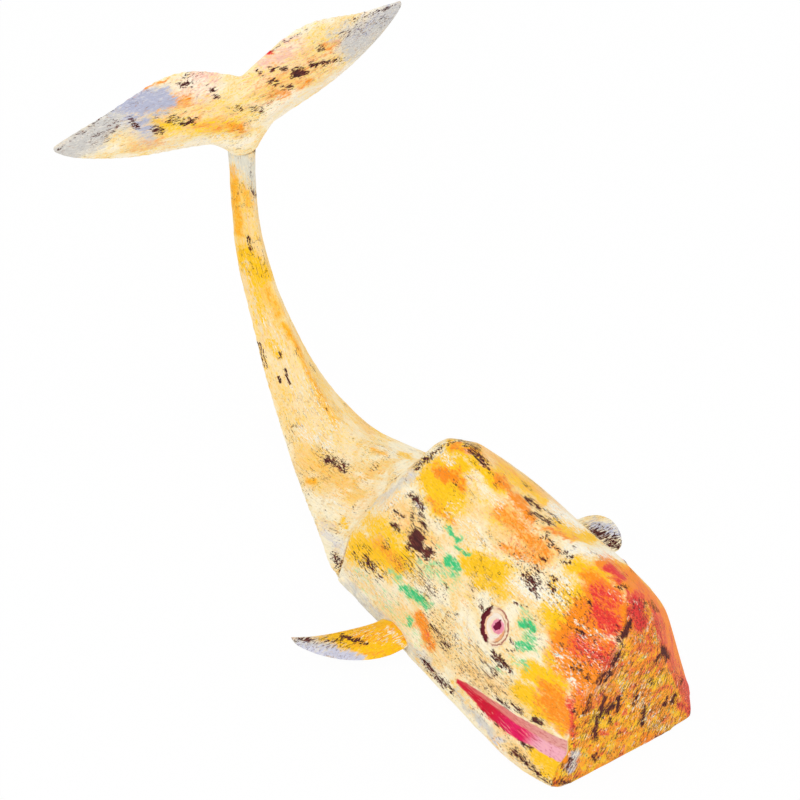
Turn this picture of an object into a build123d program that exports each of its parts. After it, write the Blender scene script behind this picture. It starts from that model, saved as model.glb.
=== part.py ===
"""Carved wooden whale ornament: a blunt-headed whale lying on its belly with its tail raised.

Five carved pieces are glued and pegged together: the head and trunk block, the curved tail stem,
the flukes and two flippers. Round dowels and pegs are hidden in the joints.

Frame: +X towards the head, +Y the whale's left, +Z up. Z = 0 is the surface it lies on, and the
origin is under the middle of the whole figure. Millimetres.
"""
from math import cos, radians, sin, sqrt
import os

from build123d import *

# Whole figure
overall_height = 323.0
fluke_span = 312.0

# Head and trunk block
body_length = 274.0
body_width = 158.0
body_height = 149.0
left_shoulder_swell = 4.0
belly_corner_width = 6.0
belly_corner_height = 5.0
belly_saw_allowance = 2.0
chin_rise = 4.5
brow_height = 143.0
brow_overhang = 10.0

# Curved tail stem
tail_length = 258.0
tail_root_height = 88.0
tail_ridge_width = 4.0
stem_top_height = 226.0
stem_top_depth = 16.0

# Flukes
fluke_thickness = 19.0
fluke_tip_thickness = 4.0
fluke_tip_sweep = 15.0
right_lobe_bulge = -1.5
left_lobe_bulge = 1.5
right_lobe_lift = 1.0
left_lobe_lift = -2.4

# Flippers
right_flipper_reach = 67.0
left_flipper_reach = 48.5
flipper_chord = 35.0
flipper_thickness = 11.0
flipper_height = 12.0
flipper_setback = 199.0
flipper_seat_depth = 1.5
flipper_seat_margin = 1.5

# Facets pared off the forehead and the left cheek
crown_setback = 20.0
crown_height = 162.0
right_brow_half_width = 16.0
left_brow_half_width = 20.5
left_brow_height = 107.0
cheek_foot_half_width = 59.0
cheek_foot_height = 5.0
cheek_rear_setback = 30.0
cheek_rear_half_width = 45.5
cheek_rear_height = 87.0

# Carved eyes
eye_diameter = 29.0
eye_setback = 103.0
eye_height = 88.0
eye_groove_width = 1.8
eye_groove_depth = 1.4
eye_pupil_diameter = 5.5

# Carved mouth lines
mouth_rear_height = 25.0
mouth_front_height = 41.0
mouth_upper_opening = 16.0
mouth_lower_opening = 6.5
mouth_depth = 5.0
mouth_end_size = 0.8
left_mouth_size = 0.3

# Dowels and pegs
tail_dowel_diameter = 12.0
tail_dowel_length = 56.0
tail_dowel_spacing = 64.0
tail_dowel_height = 32.0
fluke_dowel_diameter = 7.0
fluke_dowel_length = 44.0
flipper_peg_diameter = 5.0
flipper_peg_length = 34.0
dowel_clearance = 0.05
dowel_end_gap = 0.5

# Places worked out from the sizes
half_length = (body_length + tail_length) / 2
half_width = body_width / 2
half_span = fluke_span / 2
joint_x = half_length - body_length
fluke_x = -half_length + fluke_tip_thickness / 2 + fluke_tip_sweep
stem_x = fluke_x + stem_top_depth / 2
crest_rise = overall_height - stem_top_height
belly_corner_run = belly_corner_width * (1 + belly_saw_allowance / belly_corner_height)

# Trunk sections from the tail joint to past the nose. Shares: distance behind the brow over the
# body length; half widths of the ridge flat, upper corner, shoulder and belly over half the body
# width; heights of the ridge, upper corner and shoulder over the body height, or over the tail
# root's height at the joint; rise of the belly over the chin's rise; part of the left shoulder's
# swell.
rear_section_shares = (1.000, (0.05, 0.40, 0.860, 1.005), (1.000, 0.931, 0.533), 0.0, 0.0)
trunk_section_shares = (
    (0.912, (0.08, 0.41, 0.800, 1.000), (0.858, 0.730, 0.465), 0.0, 0.2),
    (0.810, (0.07, 0.42, 0.800, 1.000), (0.958, 0.772, 0.490), 0.0, 0.5),
    (0.693, (0.04, 0.44, 0.800, 1.000), (0.965, 0.785, 0.495), 0.0, 0.9),
    (0.460, (0.04, 0.48, 0.815, 1.005), (0.955, 0.815, 0.505), 0.0, 1.0),
    (0.369, (0.07, 0.50, 0.820, 1.003), (1.000, 0.825, 0.510), 0.0, 1.0),
    (0.200, (0.08, 0.47, 0.785, 0.985), (1.070, 0.850, 0.515), 0.0, 1.0),
    (0.080, (0.05, 0.39, 0.700, 0.910), (1.090, 0.850, 0.560), 0.4, 1.0),
    (-0.050, (0.04, 0.34, 0.580, 0.760), (1.085, 0.825, 0.610), 1.4, 1.0),
)
mouth_section_shares = trunk_section_shares[3:]
cheek_section_shares = trunk_section_shares[4]
flank_section_shares = trunk_section_shares[2]

# Tail sections from the joint to the stem's top. Shares: way back from the joint to the stem;
# ridge height over the stem's top height, or over the root's height at the joint; turn of the tail
# from level, in degrees; half widths of the flank and sole over half the body width; their drops
# below the ridge over the root height.
root_section_shares = (0.000, 1.000, 0, (0.854, 0.997), (0.470, 1.000))
tail_section_shares = (
    (0.110, 0.303, -20, (0.840, 0.987), (0.480, 0.770)),
    (0.211, 0.236, -21, (0.731, 0.892), (0.390, 0.605)),
    (0.363, 0.178, -9, (0.555, 0.679), (0.300, 0.450)),
    (0.489, 0.156, 8, (0.400, 0.505), (0.255, 0.400)),
    (0.578, 0.182, 28, (0.270, 0.385), (0.230, 0.380)),
    (0.684, 0.246, 45, (0.195, 0.290), (0.215, 0.345)),
    (0.815, 0.389, 54, (0.145, 0.211), (0.185, 0.300)),
    (0.904, 0.509, 60, (0.138, 0.171), (0.160, 0.265)),
    (0.961, 0.641, 69, (0.131, 0.147), (0.140, 0.230)),
    (0.987, 0.761, 78, (0.127, 0.133), (0.120, 0.200)),
    (0.997, 0.885, 86, (0.127, 0.129), (0.100, 0.182)),
)
stem_top_shares = (1.000, 1.000, 90, (0.142, 0.142), (0.091, 0.182))

# Lobe sections from the middle to a tip. Shares: place over the half span; lower and upper edge
# from the stem's top (0) to the lobe's crest (1); thickness over the thickness at the middle.
lobe_section_shares = (
    (0.000, 0.060, 0.745, 1.00),
    (0.128, 0.125, 0.865, 0.97),
    (0.320, 0.200, 0.985, 0.86),
    (0.510, 0.255, 0.955, 0.72),
    (0.660, 0.320, 0.863, 0.56),
    (0.833, 0.430, 0.772, 0.42),
    (0.949, 0.540, 0.713, 0.30),
    (1.000, 0.620, 0.680, 0.21),
)
lobe_profile_shares = ((0.0, 0.0), (0.5, 0.28), (0.36, 0.74), (0.0, 1.0), (-0.36, 0.74), (-0.5, 0.28))
sweep_power = 1.5
arch_factor = 4

# Neck below the lobes. Shares: height from the stem's top to the crest; half width over the half
# span; depth over the flukes' thickness.
neck_section_shares = (
    (0.00, 0.073, 0.84),
    (0.09, 0.116, 0.90),
    (0.19, 0.182, 0.90),
    (0.32, 0.250, 0.70),
)

# Blade sections from inside the flank to the tip. Shares: place over the reach; leading and
# trailing edge behind the root's leading edge over the chord; thickness over the root thickness.
right_blade_shares = (
    (-0.10, 0.00, 1.00, 1.00),
    (0.20, -0.03, 1.00, 0.95),
    (0.46, 0.11, 1.14, 0.80),
    (0.70, 0.43, 1.31, 0.62),
    (0.90, 0.89, 1.51, 0.44),
    (1.00, 1.34, 1.63, 0.26),
)
left_blade_shares = (
    (-0.12, 0.05, 0.98, 1.00),
    (0.28, -0.12, 0.98, 0.95),
    (0.55, -0.26, 1.03, 0.80),
    (0.78, -0.22, 0.97, 0.64),
    (0.93, 0.04, 0.84, 0.46),
    (1.00, 0.32, 0.65, 0.30),
)
blade_profile_shares = ((0.0, 0.0), (0.33, 0.5), (0.67, 0.5), (1.0, 0.0), (0.67, -0.5), (0.33, -0.5))
eye_ring_shares = (1.00, 0.70, 0.46)


def face_on(plane, points):
    """Closed straight-sided sketch through points on a plane."""
    with BuildSketch(plane) as sketch:
        with BuildLine():
            Polyline(*points, close=True)
        make_face()
    return sketch.sketch


def trunk_plane(shares):
    """Upright plane across the body at a section's distance behind the brow."""
    x = half_length - shares[0] * body_length
    return Plane(origin=(x, 0, 0), x_dir=(0, 1, 0), z_dir=(1, 0, 0))


def trunk_corners(shares, tallest=body_height, swell=0):
    """Ridge, upper corner, shoulder, belly side and belly sole of one side of a trunk section."""
    _, widths, heights, rise, swell_share = shares
    flat, upper, shoulder, belly = (half_width * width for width in widths)
    ridge_z, upper_z, shoulder_z = (tallest * height for height in heights)
    belly_z = rise * chin_rise
    return [
        (flat, ridge_z),
        (upper, upper_z),
        (shoulder + swell * swell_share, shoulder_z),
        (belly, belly_z + belly_corner_height),
        (belly - belly_corner_run, belly_z - belly_saw_allowance),
    ]


def both_sides(left_corners, right_corners):
    """Closed outline from the left side's corners and the right side's mirror images."""
    return left_corners + [(-y, z) for y, z in reversed(right_corners)]


def trunk_outline(shares, tallest=body_height):
    """Closed outline of a trunk section, with its left shoulder swollen a little."""
    left_corners = trunk_corners(shares, tallest, left_shoulder_swell)
    return both_sides(left_corners, trunk_corners(shares, tallest))


def side_at(shares, height, low, high, swell=0):
    """Half width of a trunk section at a height between two of its corners."""
    corners = trunk_corners(shares, swell=swell)
    low_y, low_z = corners[low]
    high_y, high_z = corners[high]
    return low_y + (high_y - low_y) * (height - low_z) / (high_z - low_z)


def face_x(height):
    """Place along the body of the sawn face at a height."""
    return half_length - brow_overhang * (brow_height - height) / (brow_height - chin_rise)


# Facet of the forehead, from the crown down to the face on either side of the brow
crown = Vector(half_length - crown_setback, 0, crown_height)
right_brow = Vector(half_length, -right_brow_half_width, brow_height)
left_brow = Vector(face_x(left_brow_height), left_brow_half_width, left_brow_height)
forehead_plane = Plane(
    origin=crown, x_dir=left_brow - crown, z_dir=(right_brow - crown).cross(left_brow - crown)
)

# Facet of the left cheek, beside the face
cheek_foot = Vector(face_x(cheek_foot_height), cheek_foot_half_width, cheek_foot_height)
cheek_rear = Vector(half_length - cheek_rear_setback, cheek_rear_half_width, cheek_rear_height)
cheek_plane = Plane(
    origin=left_brow,
    x_dir=cheek_rear - left_brow,
    z_dir=(cheek_foot - left_brow).cross(cheek_rear - left_brow),
)


def mouth_outline(shares, side):
    """V of the mouth at a trunk section: its crease, and both edges carried out past the cheek."""
    start = mouth_section_shares[0][0]
    way = (start - shares[0]) / start
    height = mouth_rear_height + way * (mouth_front_height - mouth_rear_height)
    opened = sqrt(max(way, 0))
    if side > 0:
        opened *= left_mouth_size
    upper = mouth_end_size + opened * (mouth_upper_opening - mouth_end_size)
    lower = mouth_end_size + opened * (mouth_lower_opening - mouth_end_size)
    crease_y = side_at(shares, height, 3, 2) - mouth_end_size - opened * (mouth_depth - mouth_end_size)
    upper_y = side_at(shares, height + upper, 3, 2)
    lower_y = side_at(shares, height - lower, 3, 2)
    return [
        (side * crease_y, height),
        (side * (2 * upper_y - crease_y), height + 2 * upper),
        (side * (2 * lower_y - crease_y), height - 2 * lower),
    ]


def tail_plane(shares, tallest=stem_top_height):
    """Plane square to the tail at a section, its origin on the ridge."""
    x = joint_x - shares[0] * (joint_x - stem_x)
    z = shares[1] * tallest
    turn = radians(shares[2])
    return Plane(origin=(x, 0, z), x_dir=(0, -1, 0), z_dir=(-cos(turn), 0, sin(turn)))


def tail_outline(shares):
    """Corner points of a tail section, measured from its ridge."""
    flank, sole = (half_width * width for width in shares[3])
    flank_drop, sole_drop = (tail_root_height * drop for drop in shares[4])
    corner_run = belly_corner_run * shares[3][1]
    corner_height = belly_corner_height * shares[3][1]
    allowance = belly_saw_allowance * shares[3][1]
    corners = [
        (tail_ridge_width / 2, 0),
        (flank, -flank_drop),
        (sole, corner_height - sole_drop),
        (sole - corner_run, -allowance - sole_drop),
    ]
    return both_sides(corners, corners)


def lobe_outline(shares, bulge, lift):
    """Lens-shaped section of a lobe, along the body, bulged and lifted most at half its length."""
    place, lower, upper, thick = shares
    arch = arch_factor * place * (1 - place)
    x = fluke_x - fluke_tip_sweep * place**sweep_power + bulge * arch
    low = stem_top_height + lower * crest_rise + lift * arch
    height = (upper - lower) * crest_rise
    thickness = thick * fluke_thickness
    return [(x + across * thickness, low + up * height) for across, up in lobe_profile_shares]


def blade_outline(shares):
    """Lens-shaped section of a flipper, along the body."""
    _, lead, trail, thick = shares
    root_front = half_length - flipper_setback + flipper_chord / 2
    width = (trail - lead) * flipper_chord
    front = root_front - lead * flipper_chord
    thickness = thick * flipper_thickness
    return [
        (front - along * width, flipper_height + up * thickness)
        for along, up in blade_profile_shares
    ]


def along_body_plane(y):
    """Upright plane along the body at a distance to the left."""
    return Plane(origin=(0, y, 0), x_dir=(1, 0, 0), z_dir=(0, -1, 0))


# Seats of the flippers on the flanks
flipper_x = half_length - flipper_setback
flank_y = side_at(flank_section_shares, flipper_height, 3, 2)
flank_corners = trunk_corners(flank_section_shares)
flank_run = flank_corners[3][0] - flank_corners[2][0]
flank_rise = flank_corners[2][1] - flank_corners[3][1]
seat_length = flipper_chord + flipper_seat_margin * 2
seat_height = flipper_thickness + flipper_seat_margin * 2

# Places of the dowels across the joints
tail_dowel_plane = Plane(
    origin=(joint_x, 0, tail_dowel_height), x_dir=(0, 1, 0), z_dir=(1, 0, 0)
)
fluke_dowel_plane = Plane.XY.offset(stem_top_height)
tail_dowel_ys = (-tail_dowel_spacing / 2, tail_dowel_spacing / 2)


def seat_plane(side):
    """Pared seat of a flipper; side is 1 on the whale's left and -1 on its right."""
    return Plane(
        origin=(flipper_x, side * (flank_y - flipper_seat_depth), flipper_height),
        x_dir=(1, 0, 0),
        z_dir=(0, side * flank_rise, flank_run),
    )


def peg_plane(side):
    """Plane across a flipper's peg at its middle."""
    return Plane(origin=(flipper_x, side * flank_y, flipper_height), x_dir=(1, 0, 0), z_dir=(0, side, 0))


def eye_plane(side):
    """Plane on the cheek at the eye, facing out and up."""
    swell = max(side, 0) * left_shoulder_swell
    eye_y = side_at(cheek_section_shares, eye_height, 2, 1, swell)
    corners = trunk_corners(cheek_section_shares, swell=swell)
    cheek_run = corners[2][0] - corners[1][0]
    cheek_rise = corners[1][1] - corners[2][1]
    return Plane(
        origin=(half_length - eye_setback, side * eye_y, eye_height),
        x_dir=(1, 0, 0),
        z_dir=(0, side * cheek_rise, cheek_run),
    )


def peg_hole(diameter, length):
    """Hole for a dowel or peg, on the current location, with its clearance and end gaps."""
    Cylinder(diameter / 2 + dowel_clearance, length + dowel_end_gap * 2, mode=Mode.SUBTRACT)


os.makedirs("parts", exist_ok=True)

with BuildPart() as head_and_trunk:
    # The block is lofted past the nose, then the face and its facets are sawn off it.
    for section in trunk_section_shares:
        add(face_on(trunk_plane(section), trunk_outline(section)))
    loft()
    add(face_on(trunk_plane(rear_section_shares), trunk_outline(rear_section_shares, tail_root_height)))
    add(face_on(trunk_plane(trunk_section_shares[0]), trunk_outline(trunk_section_shares[0])))
    loft(ruled=True)
    face_plane = Plane(
        origin=(half_length, 0, brow_height),
        x_dir=(0, 1, 0),
        z_dir=(brow_height - chin_rise, 0, -brow_overhang),
    )
    split(bisect_by=face_plane, keep=Keep.BOTTOM)
    split(bisect_by=forehead_plane, keep=Keep.BOTTOM)
    split(bisect_by=Plane.XY, keep=Keep.TOP)
    # Mouth lines, opening out from the corner towards the face. The left cheek's facet is pared
    # after them and takes the front of the left one away.
    for side in (-1, 1):
        for section in mouth_section_shares:
            add(face_on(trunk_plane(section), mouth_outline(section, side)))
        loft(ruled=True, mode=Mode.SUBTRACT)
    split(bisect_by=cheek_plane, keep=Keep.BOTTOM)
    for side in (-1, 1):
        # Eye rings and pupil.
        with BuildSketch(eye_plane(side)):
            for ring_share in eye_ring_shares:
                ring_radius = ring_share * eye_diameter / 2
                Circle(ring_radius)
                Circle(ring_radius - eye_groove_width, mode=Mode.SUBTRACT)
            Circle(eye_pupil_diameter / 2)
        extrude(amount=eye_groove_depth, both=True, mode=Mode.SUBTRACT)
        # Pared seat and peg hole of the flipper.
        with BuildSketch(seat_plane(side)):
            Rectangle(seat_length, seat_height)
        extrude(amount=flipper_seat_depth * 2, mode=Mode.SUBTRACT)
        with Locations(peg_plane(side)):
            peg_hole(flipper_peg_diameter, flipper_peg_length)
    with Locations(tail_dowel_plane):
        with Locations(*((y, 0) for y in tail_dowel_ys)):
            peg_hole(tail_dowel_diameter, tail_dowel_length)
head_and_trunk.part.label = "head_and_trunk"

with BuildPart() as tail_stem:
    for section in tail_section_shares + (stem_top_shares,):
        add(face_on(tail_plane(section), tail_outline(section)))
    loft()
    root_plane = tail_plane(root_section_shares, tail_root_height)
    add(face_on(root_plane, tail_outline(root_section_shares)))
    add(face_on(tail_plane(tail_section_shares[0]), tail_outline(tail_section_shares[0])))
    loft(ruled=True)
    split(bisect_by=Plane.XY, keep=Keep.TOP)
    with Locations(tail_dowel_plane):
        with Locations(*((y, 0) for y in tail_dowel_ys)):
            peg_hole(tail_dowel_diameter, tail_dowel_length)
    with Locations(fluke_dowel_plane):
        with Locations((fluke_x, 0)):
            peg_hole(fluke_dowel_diameter, fluke_dowel_length)
tail_stem.part.label = "tail_stem"

with BuildPart() as flukes:
    for side, bulge, lift in (
        (-1, right_lobe_bulge, right_lobe_lift),
        (1, left_lobe_bulge, left_lobe_lift),
    ):
        for section in lobe_section_shares:
            lobe_plane = along_body_plane(side * section[0] * half_span)
            add(face_on(lobe_plane, lobe_outline(section, bulge, lift)))
        loft()
    for height_share, width_share, depth_share in neck_section_shares:
        with BuildSketch(fluke_dowel_plane.offset(height_share * crest_rise)):
            with Locations((fluke_x, 0)):
                Ellipse(depth_share * fluke_thickness / 2, width_share * half_span)
    loft()
    with Locations(fluke_dowel_plane):
        with Locations((fluke_x, 0)):
            peg_hole(fluke_dowel_diameter, fluke_dowel_length)
flukes.part.label = "flukes"

flipper_parts = []
for name, side, reach, blade_shares in (
    ("right_flipper", -1, right_flipper_reach, right_blade_shares),
    ("left_flipper", 1, left_flipper_reach, left_blade_shares),
):
    with BuildPart() as flipper:
        for section in blade_shares:
            place = side * (flank_y + section[0] * reach)
            add(face_on(along_body_plane(place), blade_outline(section)))
        loft()
        split(bisect_by=seat_plane(side), keep=Keep.TOP)
        with Locations(peg_plane(side)):
            peg_hole(flipper_peg_diameter, flipper_peg_length)
    flipper.part.label = name
    flipper_parts.append(flipper.part)

dowel_parts = []
for name, y in (("right_tail_dowel", -tail_dowel_spacing / 2), ("left_tail_dowel", tail_dowel_spacing / 2)):
    with BuildPart() as tail_dowel:
        with Locations(tail_dowel_plane):
            with Locations((y, 0)):
                Cylinder(tail_dowel_diameter / 2, tail_dowel_length)
    tail_dowel.part.label = name
    dowel_parts.append(tail_dowel.part)

with BuildPart() as fluke_dowel:
    with Locations(fluke_dowel_plane):
        with Locations((fluke_x, 0)):
            Cylinder(fluke_dowel_diameter / 2, fluke_dowel_length)
fluke_dowel.part.label = "fluke_dowel"
dowel_parts.append(fluke_dowel.part)

for name, side in (("right_flipper_peg", -1), ("left_flipper_peg", 1)):
    with BuildPart() as flipper_peg:
        with Locations(peg_plane(side)):
            Cylinder(flipper_peg_diameter / 2, flipper_peg_length)
    flipper_peg.part.label = name
    dowel_parts.append(flipper_peg.part)

for piece in [head_and_trunk.part, tail_stem.part, flukes.part] + flipper_parts + dowel_parts:
    export_step(piece, f"parts/{piece.label}.step")
    print(piece.label, piece.bounding_box(), round(piece.volume), piece.is_valid)
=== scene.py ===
"""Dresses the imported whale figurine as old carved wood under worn, brushed paint."""

import logging
import math
from dataclasses import dataclass, field
from enum import Enum
from typing import Any, Callable, Mapping, Sequence

import bmesh
import bpy
import numpy as np
from mathutils import Matrix, Vector, noise


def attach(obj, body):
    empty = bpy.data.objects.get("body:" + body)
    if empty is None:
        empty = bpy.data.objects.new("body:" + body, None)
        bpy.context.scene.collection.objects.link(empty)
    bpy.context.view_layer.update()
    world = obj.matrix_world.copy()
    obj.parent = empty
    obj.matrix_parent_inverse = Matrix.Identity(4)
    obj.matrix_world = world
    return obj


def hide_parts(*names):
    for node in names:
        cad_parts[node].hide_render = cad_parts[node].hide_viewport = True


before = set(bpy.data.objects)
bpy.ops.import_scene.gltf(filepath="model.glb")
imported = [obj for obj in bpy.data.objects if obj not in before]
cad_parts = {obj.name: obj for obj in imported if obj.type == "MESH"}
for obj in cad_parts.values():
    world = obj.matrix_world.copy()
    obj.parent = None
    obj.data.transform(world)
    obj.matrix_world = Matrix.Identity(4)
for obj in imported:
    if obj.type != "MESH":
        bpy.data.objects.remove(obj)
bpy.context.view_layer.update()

log = logging.getLogger("whale")

MM = 0.001
Colour = tuple[float, float, float, float]
Point = tuple[float, float]


def rgb(red: float, green: float, blue: float) -> Colour:
    """Returns an opaque colour."""
    return (red, green, blue, 1.0)


def smooth(value: np.ndarray, low: float, high: float) -> np.ndarray:
    """Rises softly from 0 where the value is low to 1 where it is high."""
    share = np.clip((value - low) / (high - low), 0.0, 1.0)
    return share * share * (3.0 - 2.0 * share)


@dataclass(frozen=True)
class PhotoView:
    """The photograph's camera: it frames the render and seats paint by picture points."""

    target: Vector = field(default_factory=lambda: Vector((-0.03806, 0.0, 0.12673)))
    look: Vector = field(default_factory=lambda: Vector((-0.5985, 0.4098, -0.6884)))
    right: Vector = field(default_factory=lambda: Vector((0.5650, 0.8251, 0.0)))
    up: Vector = field(default_factory=lambda: Vector((-0.5680, 0.3889, 0.7253)))
    distance: float = 3.0
    focal_length: float = 180.0
    sensor_width: float = 36.0
    picture_width: float = 800.0

    @property
    def eye(self) -> Vector:
        """Where the camera stands, in metres."""
        return self.target - self.look * self.distance

    def project(self, places: np.ndarray) -> tuple[np.ndarray, np.ndarray]:
        """Finds where places show in the picture.

        Args:
            places: Places in metres, one to a row.

        Returns:
            Their picture columns and rows.
        """
        away = places - np.array(self.eye)
        depth = away @ np.array(self.look)
        zoom = self.focal_length / self.sensor_width * self.picture_width
        middle = self.picture_width / 2
        columns = middle + zoom * (away @ np.array(self.right)) / depth
        rows = middle - zoom * (away @ np.array(self.up)) / depth
        return columns, rows

    def facing(self, places: np.ndarray, normals: np.ndarray) -> np.ndarray:
        """Says how far the surface turns to the camera, from 0 to 1.

        Args:
            places: Places in metres, one to a row.
            normals: The surface's unit normals there.

        Returns:
            One share for each place.
        """
        to_eye = np.array(self.eye) - places
        to_eye /= np.linalg.norm(to_eye, axis=1)[:, None]
        return smooth(np.sum(to_eye * normals, axis=1), -0.06, 0.08)

    def place(self) -> None:
        """Adds the camera and makes it the scene's."""
        data = bpy.data.cameras.new("photo_camera")
        data.lens = self.focal_length
        data.sensor_width = self.sensor_width
        data.clip_end = 20.0
        camera = bpy.data.objects.new("photo_camera", data)
        bpy.context.scene.collection.objects.link(camera)
        camera.location = self.eye
        turn = Matrix((self.right, self.up, -self.look)).transposed()
        camera.rotation_euler = turn.to_euler()
        bpy.context.scene.camera = camera


class Pigment(Enum):
    """Each coat of paint or kind of wear, with the colour layer and channel that carries it. Some marks of the chip
    and grey pigments are painted shade, and one cream mark is also a painted highlight.
    """

    YELLOW = ("warm", 0)
    ORANGE = ("warm", 1)
    RED = ("warm", 2)
    PEACH = ("warm", 3)
    GREEN = ("cool", 0)
    LILAC = ("cool", 1)
    GREY = ("cool", 2)
    PINK = ("cool", 3)
    CHIP = ("wear", 0)
    SCRATCH = ("wear", 1)
    CREAM = ("wear", 2)
    SPECKLE = ("wear", 3)

    @property
    def fade(self) -> Point:
        """Where a mark of it starts to fade and where it ends, in half widths."""
        return (0.0, 2.3) if self.value[0] == "wear" else (0.0, 2.1)


Y, O, R, P = Pigment.YELLOW, Pigment.ORANGE, Pigment.RED, Pigment.PEACH
G, L, K, M = Pigment.GREEN, Pigment.LILAC, Pigment.GREY, Pigment.PINK
C, S, W, F = Pigment.CHIP, Pigment.SCRATCH, Pigment.CREAM, Pigment.SPECKLE
LAYERS = ("warm", "cool", "wear")


@dataclass(frozen=True)
class Daub:
    """One brush mark or worn place, seated where it shows in the picture.

    Its start, end and width are in picture points. It is painted on the piece's own surface.
    """

    name: str
    pigment: Pigment
    start: Point
    end: Point
    width: float
    strength: float = 1.0

    def cover(self, columns: np.ndarray, rows: np.ndarray) -> np.ndarray:
        """Says how much of the mark lies on each picture point.

        Args:
            columns: Picture columns.
            rows: Picture rows.

        Returns:
            Shares from 0 to the mark's strength.
        """
        run_u, run_v = self.end[0] - self.start[0], self.end[1] - self.start[1]
        reach = max(run_u * run_u + run_v * run_v, 1e-9)
        along = ((columns - self.start[0]) * run_u + (rows - self.start[1]) * run_v) / reach
        along = np.clip(along, 0.0, 1.0)
        off_u = columns - self.start[0] - along * run_u
        off_v = rows - self.start[1] - along * run_v
        away = np.hypot(off_u, off_v) / (self.width / 2)
        return self.strength * (1.0 - smooth(away, *self.pigment.fade))


class Bench:
    """A shader tree with short calls that each add one node."""

    def __init__(self, tree: bpy.types.NodeTree) -> None:
        """Keeps the tree that the nodes go into."""
        self.tree = tree

    def feed(self, socket: bpy.types.NodeSocket, value: Any) -> None:
        """Links a socket to the input, or sets the input to a plain value.

        Args:
            socket: The input.
            value: The socket or the value that it gets.
        """
        if isinstance(value, bpy.types.NodeSocket):
            self.tree.links.new(value, socket)
        else:
            socket.default_value = value

    def node(self, kind: str, inputs: Mapping[Any, Any] | None = None, **settings: Any) -> bpy.types.Node:
        """Adds a node.

        Args:
            kind: The node's type name.
            inputs: Values or sockets by input name or number.
            **settings: The node's own settings.

        Returns:
            The node.
        """
        made = self.tree.nodes.new(kind)
        for name, value in settings.items():
            setattr(made, name, value)
        for key, value in (inputs or {}).items():
            self.feed(made.inputs[key], value)
        return made

    def math(self, operation: str, first: Any, second: Any = 0.0, clamp: bool = False) -> bpy.types.NodeSocket:
        """Adds a Math node and returns its result, held to 0 to 1 if clamp says so."""
        made = self.node("ShaderNodeMath", {0: first, 1: second}, operation=operation, use_clamp=clamp)
        return made.outputs[0]

    def plus(self, first: Any, second: Any) -> bpy.types.NodeSocket:
        """Adds two values."""
        return self.math("ADD", first, second)

    def minus(self, first: Any, second: Any) -> bpy.types.NodeSocket:
        """Takes the second value from the first."""
        return self.math("SUBTRACT", first, second)

    def times(self, first: Any, second: Any) -> bpy.types.NodeSocket:
        """Multiplies two values."""
        return self.math("MULTIPLY", first, second)

    def weigh(self, first: Any, share: float, second: Any, other: float) -> bpy.types.NodeSocket:
        """Adds two values, each times its own share."""
        return self.plus(self.times(first, share), self.times(second, other))

    def vector(self, operation: str, first: Any, second: Any = (0.0, 0.0, 0.0)) -> bpy.types.NodeSocket:
        """Adds a Vector Math node and returns its number."""
        return self.node("ShaderNodeVectorMath", {0: first, 1: second}, operation=operation).outputs["Value"]

    def blend(self, share: Any, under: Any, over: Any, kind: str = "MIX") -> bpy.types.NodeSocket:
        """Mixes two colours: share says how much of the upper one shows, and kind is the blend type."""
        made = self.node("ShaderNodeMix", {0: share, 6: under, 7: over}, data_type="RGBA", blend_type=kind)
        return made.outputs[2]

    def rise(self, value: Any, low: Any, high: Any, bottom: float = 0.0, top: float = 1.0) -> bpy.types.NodeSocket:
        """Turns a value into a soft step, from bottom at low to top at high."""
        inputs = {0: value, 1: low, 2: high, 3: bottom, 4: top}
        return self.node("ShaderNodeMapRange", inputs, interpolation_type="SMOOTHSTEP").outputs[0]

    def stretch(self, vector: Any, scale: Sequence[float], shift: Sequence[float] = (0.0, 0.0, 0.0)) -> Any:
        """Scales and shifts a pattern's coordinates."""
        return self.node("ShaderNodeMapping", {"Vector": vector, "Scale": scale, "Location": shift}).outputs[0]

    def noise(self, vector: Any, detail: float, roughness: float, swirl: float = 0.0) -> bpy.types.NodeSocket:
        """Adds a noise pattern whose grain is one unit of the vector."""
        inputs = {"Vector": vector, "Scale": 1.0, "Detail": detail, "Roughness": roughness, "Distortion": swirl}
        return self.node("ShaderNodeTexNoise", inputs).outputs[0]

    def attribute(self, name: str) -> bpy.types.Node:
        """Adds a node that reads a named attribute of the mesh."""
        return self.node("ShaderNodeAttribute", attribute_name=name)


def new_material(name: str) -> tuple[bpy.types.Material, Bench, bpy.types.Node]:
    """Makes a material.

    Args:
        name: Its name.

    Returns:
        The material, a bench for its tree, and its Principled shader.
    """
    material = bpy.data.materials.new(name)
    material.use_nodes = True
    return material, Bench(material.node_tree), material.node_tree.nodes["Principled BSDF"]


SOCKETS = {"value": "NodeSocketFloat", "colour": "NodeSocketColor", "vector": "NodeSocketVector"}


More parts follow.
